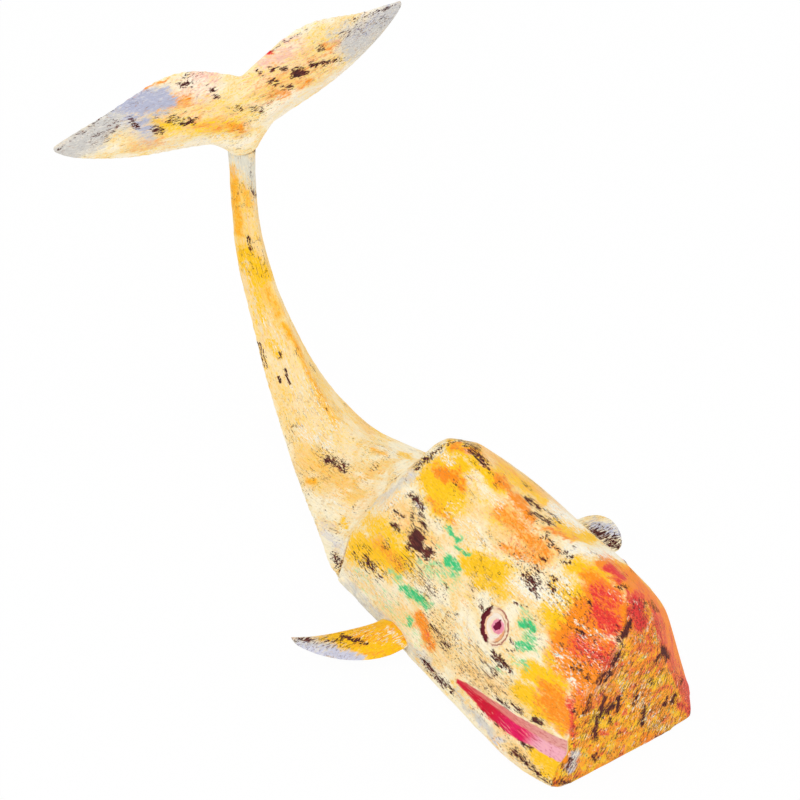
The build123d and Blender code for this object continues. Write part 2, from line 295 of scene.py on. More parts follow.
class EffectGroup:
    """A shader node group with named inputs and outputs, built once and used in many materials."""

    def __init__(self, name: str, takes: Mapping[str, str], gives: Mapping[str, str]) -> None:
        """Makes the group.

        Args:
            name: The group's name.
            takes: Names of its inputs by kind, with spaces between them.
            gives: Names of its outputs by kind, with spaces between them.
        """
        self.tree = bpy.data.node_groups.new(name, "ShaderNodeTree")
        for kind, labels in takes.items():
            for label in labels.split():
                self.tree.interface.new_socket(name=label, in_out="INPUT", socket_type=SOCKETS[kind])
        for kind, labels in gives.items():
            for label in labels.split():
                self.tree.interface.new_socket(name=label, in_out="OUTPUT", socket_type=SOCKETS[kind])
        self.bench = Bench(self.tree)
        self.taken = self.tree.nodes.new("NodeGroupInput").outputs
        self.given = self.tree.nodes.new("NodeGroupOutput").inputs

    def give(self, name: str, value: Any) -> None:
        """Sends a value to one of the group's outputs."""
        self.bench.feed(self.given[name], value)

    def use(self, bench: Bench, shared: Mapping[str, Any], **inputs: Any) -> Any:
        """Places the group in a tree.

        Args:
            bench: The tree it goes into.
            shared: Values or sockets by name, which may be more than the group takes.
            **inputs: Values or sockets for the other inputs.

        Returns:
            The outputs of the placed group.
        """
        placed = bench.node("ShaderNodeGroup", node_tree=self.tree)
        for socket in placed.inputs:
            bench.feed(socket, inputs[socket.name] if socket.name in inputs else shared[socket.name])
        return placed.outputs


@dataclass(frozen=True)
class BrushPattern:
    """One pattern of a dry brush: its grain along and across the strokes, its noise and its contrast."""

    name: str
    along: float
    across: float
    shift: tuple[float, float, float]
    detail: float
    roughness: float
    swirl: float
    low: float = 0.0

    def noise(self, bench: Bench, grain: Any) -> Any:
        """Adds the pattern's bare noise."""
        place = bench.stretch(grain, (self.along, self.across, self.across), self.shift)
        return bench.noise(place, self.detail, self.roughness, self.swirl)

    def draw(self, bench: Bench, grain: Any) -> Any:
        """Adds the pattern, stretched to 0 to 1."""
        return bench.rise(self.noise(bench, grain), self.low, 1.0 - self.low)


HAIRLINES = BrushPattern("Hairlines", 0.07, 1.3, (3.0, 13.0, 29.0), 2.0, 0.5, 0.7)
CONTOURS = BrushPattern("Contours", 0.055, 0.11, (7.0, 3.0, 5.0), 3.0, 0.6, 0.4)
DUST = BrushPattern("Dust", 0.42, 0.95, (17.0, 5.0, 1.0), 2.0, 0.6, 0.3)
LIP_EDGE = BrushPattern("Lip edge", 0.15, 0.5, (8.0, 2.0, 6.0), 3.0, 0.6, 0.5)
LIP_SCUFFS = BrushPattern("Lip scuffs", 0.12, 0.9, (1.0, 22.0, 6.0), 3.0, 0.6, 0.5)
BRUSH_PATTERNS = (
    BrushPattern("Streak", 0.06, 0.42, (0.0, 0.0, 0.0), 4.0, 0.62, 0.6, 0.33),
    BrushPattern("Bristle", 0.10, 1.0, (31.0, 7.0, 3.0), 3.0, 0.60, 0.8, 0.34),
    BrushPattern("Fleck", 0.33, 0.62, (5.0, 41.0, 9.0), 4.0, 0.70, 0.5, 0.33),
    BrushPattern("Blotch", 0.03, 0.055, (2.0, 3.0, 17.0), 3.0, 0.55, 0.4, 0.36),
    BrushPattern("Jag", 0.13, 0.36, (11.0, 19.0, 23.0), 6.0, 0.74, 1.6, 0.36),
    BrushPattern("Grit", 0.30, 0.80, (13.0, 2.0, 8.0), 3.0, 0.62, 0.5, 0.34),
)


class BrushGroup(EffectGroup):
    """All brush patterns, from coordinates in millimetres along and across the strokes."""

    def __init__(self) -> None:
        """Builds every pattern."""
        names = " ".join(pattern.name for pattern in BRUSH_PATTERNS)
        super().__init__("brush_patterns", {"vector": "Grain"}, {"value": names})
        for pattern in BRUSH_PATTERNS:
            self.give(pattern.name, pattern.draw(self.bench, self.taken["Grain"]))


class CoatGroup(EffectGroup):
    """A worn coat of paint over what is under it."""

    def __init__(self) -> None:
        """Builds the coat: it thins and breaks up where its weight is low."""
        super().__init__(
            "paint_coat",
            {"colour": "Under Thin Thick", "value": "Weight Ragged Tone Dryness Edge"},
            {"colour": "Color", "value": "Mask"},
        )
        bench, take = self.bench, self.taken
        eaten = bench.times(take["Ragged"], take["Dryness"])
        left = bench.minus(take["Weight"], eaten)
        mask = bench.math("DIVIDE", left, take["Edge"], clamp=True)
        body = bench.plus(take["Weight"], take["Tone"])
        colour = bench.blend(bench.rise(body, 0.75, 1.45), take["Thin"], take["Thick"])
        self.give("Color", bench.blend(mask, take["Under"], colour))
        self.give("Mask", mask)


class AgedBaseGroup(EffectGroup):
    """Old cream paint that has yellowed in blotches and brush lines."""

    def __init__(self) -> None:
        """Builds the mottled cream and its height."""
        super().__init__(
            "aged_cream",
            {"colour": "Pale Cream Amber", "value": "Streak Bristle Fleck Blotch"},
            {"colour": "Color", "value": "Height"},
        )
        bench, take = self.bench, self.taken
        spread = bench.weigh(take["Streak"], 0.5, take["Blotch"], 0.7)
        colour = bench.blend(bench.rise(spread, 0.25, 0.95), take["Pale"], take["Cream"])
        aged = bench.times(take["Fleck"], bench.rise(take["Blotch"], 0.1, 0.9, 0.35, 1.0))
        aged = bench.plus(aged, bench.times(take["Bristle"], 0.35))
        colour = bench.blend(bench.rise(aged, 0.44, 1.00, 0.0, 0.9), colour, take["Amber"])
        self.give("Color", colour)
        height = bench.plus(take["Bristle"], bench.times(take["Fleck"], 0.6))
        self.give("Height", height)


class WeatherAndReliefLightGroup(EffectGroup):
    """The grit of old paint, with painted relief light: the high points are lightened to chalk as a painted highlight,
    partly dry-brushed chalk; the low pits are darkened brown as painted shade, partly stain; and the tone is lighter
    where the brush ridges stand high.
    """

    def __init__(self) -> None:
        """Builds the grit and its painted relief light and shade over any paint colour."""
        super().__init__(
            "weathered_paint",
            {"colour": "Under Chalk Stain", "value": "Chalkiness Grit Fleck Bristle Jag"},
            {"colour": "Color"},
        )
        bench, take = self.bench, self.taken
        # Painted relief light: the tone is made lighter where the fleck and bristle patterns, which also raise the
        # paint's bump, run high.
        lit = bench.weigh(take["Fleck"], 0.10, take["Bristle"], 0.10)
        level = bench.plus(lit, 0.91)
        tone = bench.node("ShaderNodeCombineXYZ", {0: level, 1: level, 2: level}).outputs[0]
        colour = bench.blend(1.0, take["Under"], tone, "MULTIPLY")
        # Painted highlight: the grit's high points turn chalk-pale, partly dry-brushed chalk.
        high = bench.weigh(take["Grit"], 0.55, take["Bristle"], 0.45)
        chalk = bench.times(bench.rise(high, 0.60, 0.90), take["Chalkiness"])
        colour = bench.blend(chalk, colour, take["Chalk"])
        # Painted shade: the grit's low pits turn brown, partly stain.
        low = bench.weigh(take["Jag"], 0.45, take["Grit"], 0.55)
        stain = bench.rise(low, 0.22, 0.06, 0.0, 0.50)
        self.give("Color", bench.blend(stain, colour, take["Stain"]))


class ScrapeGroup(EffectGroup):
    """Chips, scratches and dark specks that show the bare wood under the paint."""

    def __init__(self) -> None:
        """Builds the worn places and their depth."""
        super().__init__(
            "worn_places",
            {"colour": "Under Wood Dark", "value": "Chips Scratches Specks Jag Bristle", "vector": "Grain"},
            {"colour": "Color", "value": "Mask"},
        )
        bench, take = self.bench, self.taken
        ragged = bench.weigh(take["Jag"], 0.74, take["Bristle"], 0.26)
        ragged = bench.rise(ragged, 0.12, 0.88)
        # The chip weight also carries the left flipper's painted shade bands, drawn here as dark wood.
        chips = bench.math("DIVIDE", bench.minus(take["Chips"], ragged), 0.10, clamp=True)
        sparse = bench.rise(take["Scratches"], 0.0, 1.0, 0.76, 0.57)
        lines = bench.rise(bench.minus(HAIRLINES.noise(bench, take["Grain"]), sparse), 0.0, 0.03)
        contour = bench.math("ABSOLUTE", bench.minus(CONTOURS.noise(bench, take["Grain"]), 0.5))
        loops = bench.times(bench.rise(contour, 0.014, 0.006), bench.rise(take["Jag"], 0.55, 0.35))
        loops = bench.times(loops, bench.rise(take["Scratches"], 0.1, 0.7))
        sparse = bench.rise(take["Specks"], 0.0, 1.0, 0.76, 0.58)
        specks = bench.rise(bench.minus(DUST.noise(bench, take["Grain"]), sparse), 0.0, 0.035)
        thin = bench.math("MAXIMUM", lines, bench.math("MAXIMUM", loops, specks))
        mask = bench.math("MAXIMUM", chips, bench.times(thin, 0.85))
        wood = bench.blend(bench.rise(take["Bristle"], 0.35, 0.95), take["Dark"], take["Wood"])
        self.give("Color", bench.blend(mask, take["Under"], wood))
        self.give("Mask", mask)


@dataclass(frozen=True)
class PaintTones:
    """The colours of the paint box, thin and thick, of the worn places, and of the painted highlight and painted shade
    on the grit.
    """

    pale: Colour = rgb(0.95, 0.86, 0.63)
    cream: Colour = rgb(0.96, 0.77, 0.40)
    amber: Colour = rgb(0.88, 0.54, 0.15)
    yellow_thin: Colour = rgb(0.97, 0.68, 0.13)
    yellow_thick: Colour = rgb(0.98, 0.55, 0.005)
    orange_thin: Colour = rgb(0.96, 0.43, 0.06)
    orange_thick: Colour = rgb(0.95, 0.26, 0.005)
    red_thin: Colour = rgb(0.92, 0.15, 0.06)
    red_thick: Colour = rgb(0.78, 0.03, 0.03)
    peach_thin: Colour = rgb(0.97, 0.70, 0.29)
    peach_thick: Colour = rgb(0.95, 0.54, 0.15)
    green_thin: Colour = rgb(0.42, 0.78, 0.38)
    green_thick: Colour = rgb(0.04, 0.56, 0.19)
    lilac_thin: Colour = rgb(0.72, 0.70, 0.70)
    lilac_thick: Colour = rgb(0.56, 0.57, 0.70)
    # The grey also lays some painted shade on the lower flank and on the left flipper.
    grey_thin: Colour = rgb(0.74, 0.69, 0.60)
    grey_thick: Colour = rgb(0.58, 0.57, 0.53)
    pink_thin: Colour = rgb(0.94, 0.60, 0.46)
    pink_thick: Colour = rgb(0.88, 0.32, 0.27)
    white: Colour = rgb(0.94, 0.89, 0.78)
    # The next two colours are painted light on the paint's grit: a chalk-pale painted highlight on its high points,
    # and a brown painted shade in its pits.
    chalk: Colour = rgb(0.96, 0.88, 0.70)
    stain: Colour = rgb(0.42, 0.20, 0.07)
    wood: Colour = rgb(0.17, 0.040, 0.030)
    dark: Colour = rgb(0.060, 0.018, 0.018)
    # How strongly the chalk-pale painted highlight shows.
    chalkiness: float = 0.34


class PaintBox:
    """The shared node groups and the material of a painted piece."""

    def __init__(self) -> None:
        """Builds the shared groups once."""
        self.brush = BrushGroup()
        self.coat = CoatGroup()
        self.base = AgedBaseGroup()
        self.weather_and_relief_light = WeatherAndReliefLightGroup()
        self.scrape = ScrapeGroup()

    def lay_coats(self, bench: Bench, tones: PaintTones) -> tuple[Any, Any, Any]:
        """Lays the base, every pigment, the painted relief light and shade, and the wear, as the piece's own
        attributes say.

        Args:
            bench: The material's tree.
            tones: The colours.

        Returns:
            The colour, the worn mask and the paint's height.
        """
        grain = bench.attribute("grain").outputs["Vector"]
        drawn = self.brush.use(bench, {}, Grain=grain)
        brush = {pattern.name: drawn[pattern.name] for pattern in BRUSH_PATTERNS}
        streak, bristle, fleck, grit, jag = (brush[name] for name in ("Streak", "Bristle", "Fleck", "Grit", "Jag"))
        based = self.base.use(bench, brush, Pale=tones.pale, Cream=tones.cream, Amber=tones.amber)
        weights = self.weights(bench)
        ragged = bench.weigh(streak, 0.45, fleck, 0.55)
        turned = bench.minus(1.0, ragged)
        bristly = bench.weigh(bristle, 0.5, grit, 0.5)
        broken = bench.weigh(jag, 0.6, grit, 0.4)
        feathery = bench.weigh(bristle, 0.6, jag, 0.4)
        order = (
            (P, tones.peach_thin, tones.peach_thick, ragged, bristle, 0.75, 0.70),
            (M, tones.pink_thin, tones.pink_thick, broken, fleck, 0.85, 0.45),
            (Y, tones.yellow_thin, tones.yellow_thick, turned, fleck, 0.75, 0.55),
            (O, tones.orange_thin, tones.orange_thick, ragged, grit, 0.80, 0.50),
            (R, tones.red_thin, tones.red_thick, broken, fleck, 0.80, 0.40),
            (G, tones.green_thin, tones.green_thick, feathery, bristle, 1.30, 0.45),
            (L, tones.lilac_thin, tones.lilac_thick, turned, streak, 0.72, 0.60),
            (K, tones.grey_thin, tones.grey_thick, ragged, fleck, 0.72, 0.60),
            (W, tones.pale, tones.white, bristly, fleck, 1.00, 0.20),
        )
        colour = based["Color"]
        for pigment, thin, thick, rag, tone, dryness, edge in order:
            coat = {"Under": colour, "Thin": thin, "Thick": thick, "Weight": weights[pigment]}
            colour = self.coat.use(bench, coat, Ragged=rag, Tone=tone, Dryness=dryness, Edge=edge)["Color"]
        # The painted highlight on the grit is weaker under the strong warm coats.
        strong = bench.plus(bench.plus(weights[O], weights[R]), bench.times(weights[Y], 0.6))
        chalkiness = bench.rise(strong, 0.2, 1.1, tones.chalkiness, tones.chalkiness * 0.12)
        # The grit's painted relief light and shade go over the coats.
        weathered_and_relief_lit = self.weather_and_relief_light.use(
            bench, brush, Under=colour, Chalk=tones.chalk, Stain=tones.stain, Chalkiness=chalkiness
        )
        worn = self.scrape.use(
            bench,
            brush,
            Under=weathered_and_relief_lit["Color"],
            Wood=tones.wood,
            Dark=tones.dark,
            Chips=weights[C],
            Scratches=weights[S],
            Specks=weights[F],
            Grain=grain,
        )
        return worn["Color"], worn["Mask"], bench.plus(based["Height"], bench.times(grit, 0.7))

    def weights(self, bench: Bench) -> dict[Pigment, Any]:
        """Reads the weight of every pigment from the piece's colour layers.

        Args:
            bench: The material's tree.

        Returns:
            A socket for each pigment.
        """
        read = {}
        for layer in LAYERS:
            source = bench.attribute(layer)
            parts = bench.node("ShaderNodeSeparateColor", {0: source.outputs["Color"]}).outputs
            read[layer] = [parts[0], parts[1], parts[2], source.outputs["Alpha"]]
        return {pigment: read[pigment.value[0]][pigment.value[1]] for pigment in Pigment}

    def finish(self, bench: Bench, shader: bpy.types.Node, colour: Any, mask: Any, height: Any) -> None:
        """Feeds the shader: worn wood is rougher and lies deeper than the paint.

        Args:
            bench: The material's tree.
            shader: Its Principled shader.
            colour: The colour.
            mask: Where the paint is gone.
            height: The paint's height.
        """
        bench.feed(shader.inputs["Base Color"], colour)
        rough = bench.rise(mask, 0.0, 1.0, 0.52, 0.80)
        gloss = bench.times(bench.minus(height, 0.8), 0.08)
        bench.feed(shader.inputs["Roughness"], bench.plus(rough, gloss))
        depth = bench.minus(bench.times(height, 0.35), mask)
        bump = bench.node("ShaderNodeBump", {"Strength": 0.5, "Distance": 0.0007, "Height": depth})
        bench.feed(shader.inputs["Normal"], bump.outputs[0])
        shader.inputs["Specular IOR Level"].default_value = 0.12

    def paint(self, piece: bpy.types.Object, tones: PaintTones, detail: Callable[[Bench, Any], Any]) -> None:
        """Gives a piece its own paint material.

        Args:
            piece: The piece.
            tones: Its colours.
            detail: The step that paints the piece's small features over the coats.
        """
        material, bench, shader = new_material(piece.name + "_paint")
        colour, mask, height = self.lay_coats(bench, tones)
        self.finish(bench, shader, detail(bench, colour), mask, height)
        piece.data.materials.clear()
        piece.data.materials.append(material)


MERGE_DISTANCE = 1e-6
CARVING_WAVES = ((42 * MM, 1.1 * MM), (11 * MM, 0.45 * MM))
BRUSH_SHAKES = ((8 * MM, 0.0, 4.5), (3 * MM, 0.5, 2.6))
LAST_SMOOTHING = 4


class Modelling:
    """Mesh steps that every carved piece shares, done with operators as by hand."""

    @staticmethod
    def clear_selection() -> None:
        """Deselects everything."""
        bpy.ops.object.select_all(action="DESELECT")

    @staticmethod
    def pick(piece: bpy.types.Object) -> None:
        """Selects one object alone and makes it active.

        Args:
            piece: The object.
        """
        Modelling.clear_selection()
        piece.select_set(True)
        bpy.context.view_layer.objects.active = piece

    @staticmethod
    def copy_of(node: bpy.types.Object, name: str) -> bpy.types.Object:
        """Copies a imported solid's mesh into a new piece and merges its loose triangles.

        Args:
            node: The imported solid.
            name: The new piece's name.

        Returns:
            The piece.
        """
        piece = bpy.data.objects.new(name, node.data.copy())
        bpy.context.scene.collection.objects.link(piece)
        Modelling.pick(piece)
        bpy.ops.object.mode_set(mode="EDIT")
        bpy.ops.mesh.select_all(action="SELECT")
        bpy.ops.mesh.remove_doubles(threshold=MERGE_DISTANCE)
        bpy.ops.mesh.normals_make_consistent(inside=False)
        bpy.ops.object.mode_set(mode="OBJECT")
        return piece

    @staticmethod
    def modify(piece: bpy.types.Object, kind: str, **settings: Any) -> None:
        """Adds a modifier and applies it.

        Args:
            piece: The piece.
            kind: The modifier's type.
            **settings: Its settings.
        """
        made = piece.modifiers.new(kind.lower(), kind)
        for name, value in settings.items():
            setattr(made, name, value)
        Modelling.pick(piece)
        bpy.ops.object.modifier_apply(modifier=made.name)

    @staticmethod
    def hand_worked(piece: bpy.types.Object, voxel: float, rounding: int, waviness: float) -> None:
        """Makes the solid an even mesh with rounded arrises and the slight waves of hand carving.

        Args:
            piece: The piece.
            voxel: The mesh's grain in metres.
            rounding: How many times the arrises are smoothed.
            waviness: How strong the waves are, 1 for the trunk's.
        """
        Modelling.modify(piece, "REMESH", mode="VOXEL", voxel_size=voxel, adaptivity=0.0, use_smooth_shade=True)
        Modelling.modify(piece, "SMOOTH", factor=0.5, iterations=rounding)
        for size, depth in CARVING_WAVES:
            waves = bpy.data.textures.new("carving_waves", "CLOUDS")
            waves.noise_scale = size
            waves.noise_depth = 1
            Modelling.modify(
                piece,
                "DISPLACE",
                texture=waves,
                texture_coords="LOCAL",
                direction="NORMAL",
                strength=depth * waviness,
                mid_level=0.5,
            )
        Modelling.modify(piece, "SMOOTH", factor=0.5, iterations=LAST_SMOOTHING)

    @staticmethod
    def soften(piece: bpy.types.Object, chosen: np.ndarray, repeat: int) -> None:
        """Rounds a part of the surface further.

        Args:
            piece: The piece.
            chosen: Which of its points are smoothed.
            repeat: How many times.
        """
        group = piece.vertex_groups.new(name="soft")
        group.add(np.flatnonzero(chosen).tolist(), 1.0, "REPLACE")
        Modelling.modify(piece, "SMOOTH", factor=0.5, iterations=repeat, vertex_group=group.name)
        piece.vertex_groups.clear()

    @staticmethod
    def read_surface(piece: bpy.types.Object) -> tuple[np.ndarray, np.ndarray]:
        """Reads the places and normals of a mesh's points.

        Args:
            piece: The piece.

        Returns:
            Places and unit normals, one to a row.
        """
        count = len(piece.data.vertices)
        places = np.empty(count * 3)
        normals = np.empty(count * 3)
        piece.data.vertices.foreach_get("co", places)
        piece.data.vertex_normals.foreach_get("vector", normals)
        return places.reshape(-1, 3), normals.reshape(-1, 3)

    @staticmethod
    def move_surface(piece: bpy.types.Object, places: np.ndarray) -> None:
        """Moves a mesh's points to new places."""
        piece.data.vertices.foreach_set("co", places.ravel())
        piece.data.update()

    @staticmethod
    def store(piece: bpy.types.Object, name: str, kind: str, values: np.ndarray) -> None:
        """Stores numbers at the points of a mesh.

        Args:
            piece: The piece.
            name: The attribute's name.
            kind: Its data type.
            values: Its numbers, one point to a row.
        """
        made = piece.data.attributes.new(name, kind, "POINT")
        slot = "vector" if kind == "FLOAT_VECTOR" else "color"
        made.data.foreach_set(slot, np.ascontiguousarray(values, np.float32).ravel())


def wander(places: np.ndarray, size: float, seed: float) -> np.ndarray:
    """Gives a smooth number from about -1 to 1 for every place; size is the pattern's grain in metres."""
    shift = Vector((seed * 7.3, seed * 3.1, seed * 5.7))
    return np.array([noise.noise(Vector(place) / size + shift) for place in places])


def brush_shake(places: np.ndarray, seed: float) -> np.ndarray:
    """Says by how many picture points the brush strays from its line at each place."""
    return sum(wander(places, size, seed + later) * reach for size, later, reach in BRUSH_SHAKES)


def beside_line(line: np.ndarray, flat: np.ndarray) -> tuple[np.ndarray, np.ndarray]:
    """Measures flat places against a bent line.

    Args:
        line: The line's corners, one to a row.
        flat: The places, one to a row.

    Returns:
        Their distances from the line, and how far along it its nearest point lies.
    """
    best = np.full(len(flat), np.inf)
    along = np.zeros(len(flat))
    base = 0.0
    for start, step in zip(line[:-1], np.diff(line, axis=0)):
        length = np.hypot(*step)
        share = np.clip((flat - start) @ step / length**2, 0.0, 1.0)
        off = np.hypot(*(flat - start - share[:, None] * step).T)
        closer = off < best
        best[closer] = off[closer]
        along[closer] = (base + share * length)[closer]
        base += length
    return best, along


class PaintLayers:
    """The weight of every pigment at each point of a piece, in its colour layers."""

    def __init__(self, count: int) -> None:
        """Starts without any paint."""
        self.values = {layer: np.zeros((count, 4)) for layer in LAYERS}

    def add(self, pigment: Pigment, amount: np.ndarray, rows: Any = slice(None)) -> None:
        """Raises a pigment's weight to the amount wherever it is lower.

        Args:
            pigment: The pigment.
            amount: Its new weights.
            rows: The points they belong to, or all.
        """
        layer, channel = pigment.value
        weights = self.values[layer]
        weights[rows, channel] = np.maximum(weights[rows, channel], amount)


@dataclass(frozen=True)
class Touches:
    """Loose touches of one pigment over a whole area: their grain, pattern, sparseness and strength."""

    pigment: Pigment
    size: float
    seed: float
    low: float
    strength: float
    strength_in_sight: float = 0.0
    softness: float = 0.22

    def cover(self, places: np.ndarray) -> np.ndarray:
        """Says how far each place lies under a touch, from 0 to 1."""
        return smooth(wander(places, self.size, self.seed), self.low, self.low + self.softness)


STRAY_TOUCHES = (
    Touches(Y, 26 * MM, 11.0, 0.20, 0.90, 0.45, 0.25),
    Touches(O, 22 * MM, 12.0, 0.28, 0.80, 0.36, 0.25),
    Touches(M, 19 * MM, 13.0, 0.30, 0.60, 0.30, 0.25),
    Touches(L, 24 * MM, 14.0, 0.26, 0.60, 0.10, 0.25),
    Touches(K, 28 * MM, 15.0, 0.24, 0.45, 0.10, 0.25),
    Touches(C, 13 * MM, 16.0, 0.42, 0.70, 0.24, 0.25),
)
FACE_TOUCHES = (
    Touches(Y, 40 * MM, 21.0, -1.50, 1.05),
    Touches(O, 9 * MM, 22.0, -0.34, 0.74),
    Touches(O, 12 * MM, 20.0, 0.16, 1.00),
    Touches(R, 8 * MM, 23.0, 0.10, 0.62),
    Touches(M, 7 * MM, 24.0, 0.02, 0.68),
    Touches(G, 9 * MM, 26.0, 0.28, 0.60),
    Touches(W, 5 * MM, 25.0, 0.16, 0.44),
    Touches(C, 6 * MM, 27.0, 0.36, 0.26),
    Touches(F, 10 * MM, 28.0, -0.30, 0.85),
    Touches(S, 12 * MM, 29.0, -0.20, 0.85),
)
WEAR_PATCHES = Touches(F, 31 * MM, 17.0, -0.10, 0.34, softness=0.5)
LEAST_WEAR = 0.16
CHEEK_EDGE_WAVES = ((16 * MM, 41.0, 26 * MM), (5 * MM, 42.0, 13 * MM))
LEFT_CHEEK_BANDS = ((Y, 0.175, 0.205, 1.2), (O, 0.200, 0.228, 1.3), (R, 0.222, 0.250, 0.7))
DRIFT_SIZE = 35 * MM
DRIFT_REACH = 7 * MM
CHIP_EDGE = (0.45, 0.9)
TO_FAR_SIDE = np.array((1.0, -1.0, 1.0))


@dataclass
class PaintedPiece:
    """A carved piece that is remeshed, worn and painted by its own list of daubs."""

    name: str
    slot: str
    daubs: Sequence[Daub]
    voxel: float
    rounding: int
    mirrored: bool = True
    chip_depth: float = 0.5 * MM
    paint_shake: float = 1.0
    wear_shake: float = 0.4
    waviness: float = 1.0
    tones: PaintTones = field(default_factory=PaintTones)

    def build(self, view: PhotoView, box: PaintBox) -> bpy.types.Object:
        """Builds and dresses the piece.

        Args:
            view: The photograph's camera.
            box: The shared paint groups.

        Returns:
            The finished piece.
        """
        piece = Modelling.copy_of(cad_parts[self.name], self.name + "_carved")
        Modelling.hand_worked(piece, self.voxel, self.rounding, self.waviness)
        self.carve(piece)
        self.lay_paint(piece, view)
        self.mark_places(piece)
        box.paint(piece, self.tones, self.detail)
        Modelling.pick(piece)
        bpy.ops.object.shade_smooth()
        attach(piece, "root")
        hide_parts(self.name)
        log.info("%s: %d faces", piece.name, len(piece.data.polygons))
        return piece

    def carve(self, piece: bpy.types.Object) -> None:
        """Cuts what belongs to this piece alone. A plain piece has nothing."""

    def mark_places(self, piece: bpy.types.Object) -> None:
        """Stores what the piece's small features need. A plain piece has nothing."""

    def detail(self, bench: Bench, colour: Any) -> Any:
        """Paints small features over the coats. A plain piece has none."""
        return colour

    def grain(self, places: np.ndarray, normals: np.ndarray) -> np.ndarray:
        """Gives the coordinates along and across the brush strokes, in millimetres."""
        return places / MM

    def lay_paint(self, piece: bpy.types.Object, view: PhotoView) -> None:
        """Stores the daubs' weights and the grain, and sinks the chips a little.

        Args:
            piece: The piece.
            view: The photograph's camera.
        """
        places, normals = Modelling.read_surface(piece)
        layers = PaintLayers(len(places))
        columns, rows = view.project(places)
        shake_u, shake_v = brush_shake(places, 31.0), brush_shake(places, 32.0)
        seen = view.facing(places, normals)
        drift = np.stack([wander(places, DRIFT_SIZE, seed) for seed in (1.0, 2.0, 3.0)], axis=1) * DRIFT_REACH
        far_places = (places + drift) * TO_FAR_SIDE
        far_columns, far_rows = view.project(far_places)
        far_seen = view.facing(far_places, normals * TO_FAR_SIDE) if self.mirrored else np.ones(len(places))
        far_seen *= 1.0 - seen
        for daub in self.daubs:
            worn = daub.pigment.value[0] == "wear"
            shake = self.paint_shake * (self.wear_shake if worn else 1.0)
            near_cover = daub.cover(columns + shake * shake_u, rows + shake * shake_v) * seen
            far_cover = daub.cover(far_columns + shake * shake_u, far_rows + shake * shake_v) * far_seen
            layers.add(daub.pigment, np.maximum(near_cover, far_cover))
        self.stray_paint(layers, places, np.clip(1.0 - seen - far_seen, 0.0, 1.0))
        self.extra_paint(layers, places, normals)
        for layer, values in layers.values.items():
            Modelling.store(piece, layer, "FLOAT_COLOR", values)
        Modelling.store(piece, "grain", "FLOAT_VECTOR", self.grain(places, normals))
        # This also sinks the left flipper's painted shade bands, which are laid as chips.
        sunk = smooth(layers.values["wear"][:, 0], *CHIP_EDGE)[:, None] * self.chip_depth
        Modelling.move_surface(piece, places - normals * sunk)

    def extra_paint(self, layers: PaintLayers, places: np.ndarray, normals: np.ndarray) -> None:
        """Adds paint that only this piece has. A plain piece has none."""

    def stray_paint(self, layers: PaintLayers, places: np.ndarray, unseen: np.ndarray) -> None:
        """Adds the loose touches of colour and wear that no daub names.

        Args:
            layers: The colour layers, changed in place.
            places: Places in metres, one to a row.
            unseen: How far each place is out of every daub's sight.
        """
        for touches in STRAY_TOUCHES:
            strength = touches.strength * unseen + touches.strength_in_sight * (1.0 - unseen)
            layers.add(touches.pigment, touches.cover(places) * strength)
        patches = LEAST_WEAR + WEAR_PATCHES.strength * WEAR_PATCHES.cover(places)
        for pigment in (S, F):
            layers.add(pigment, patches)


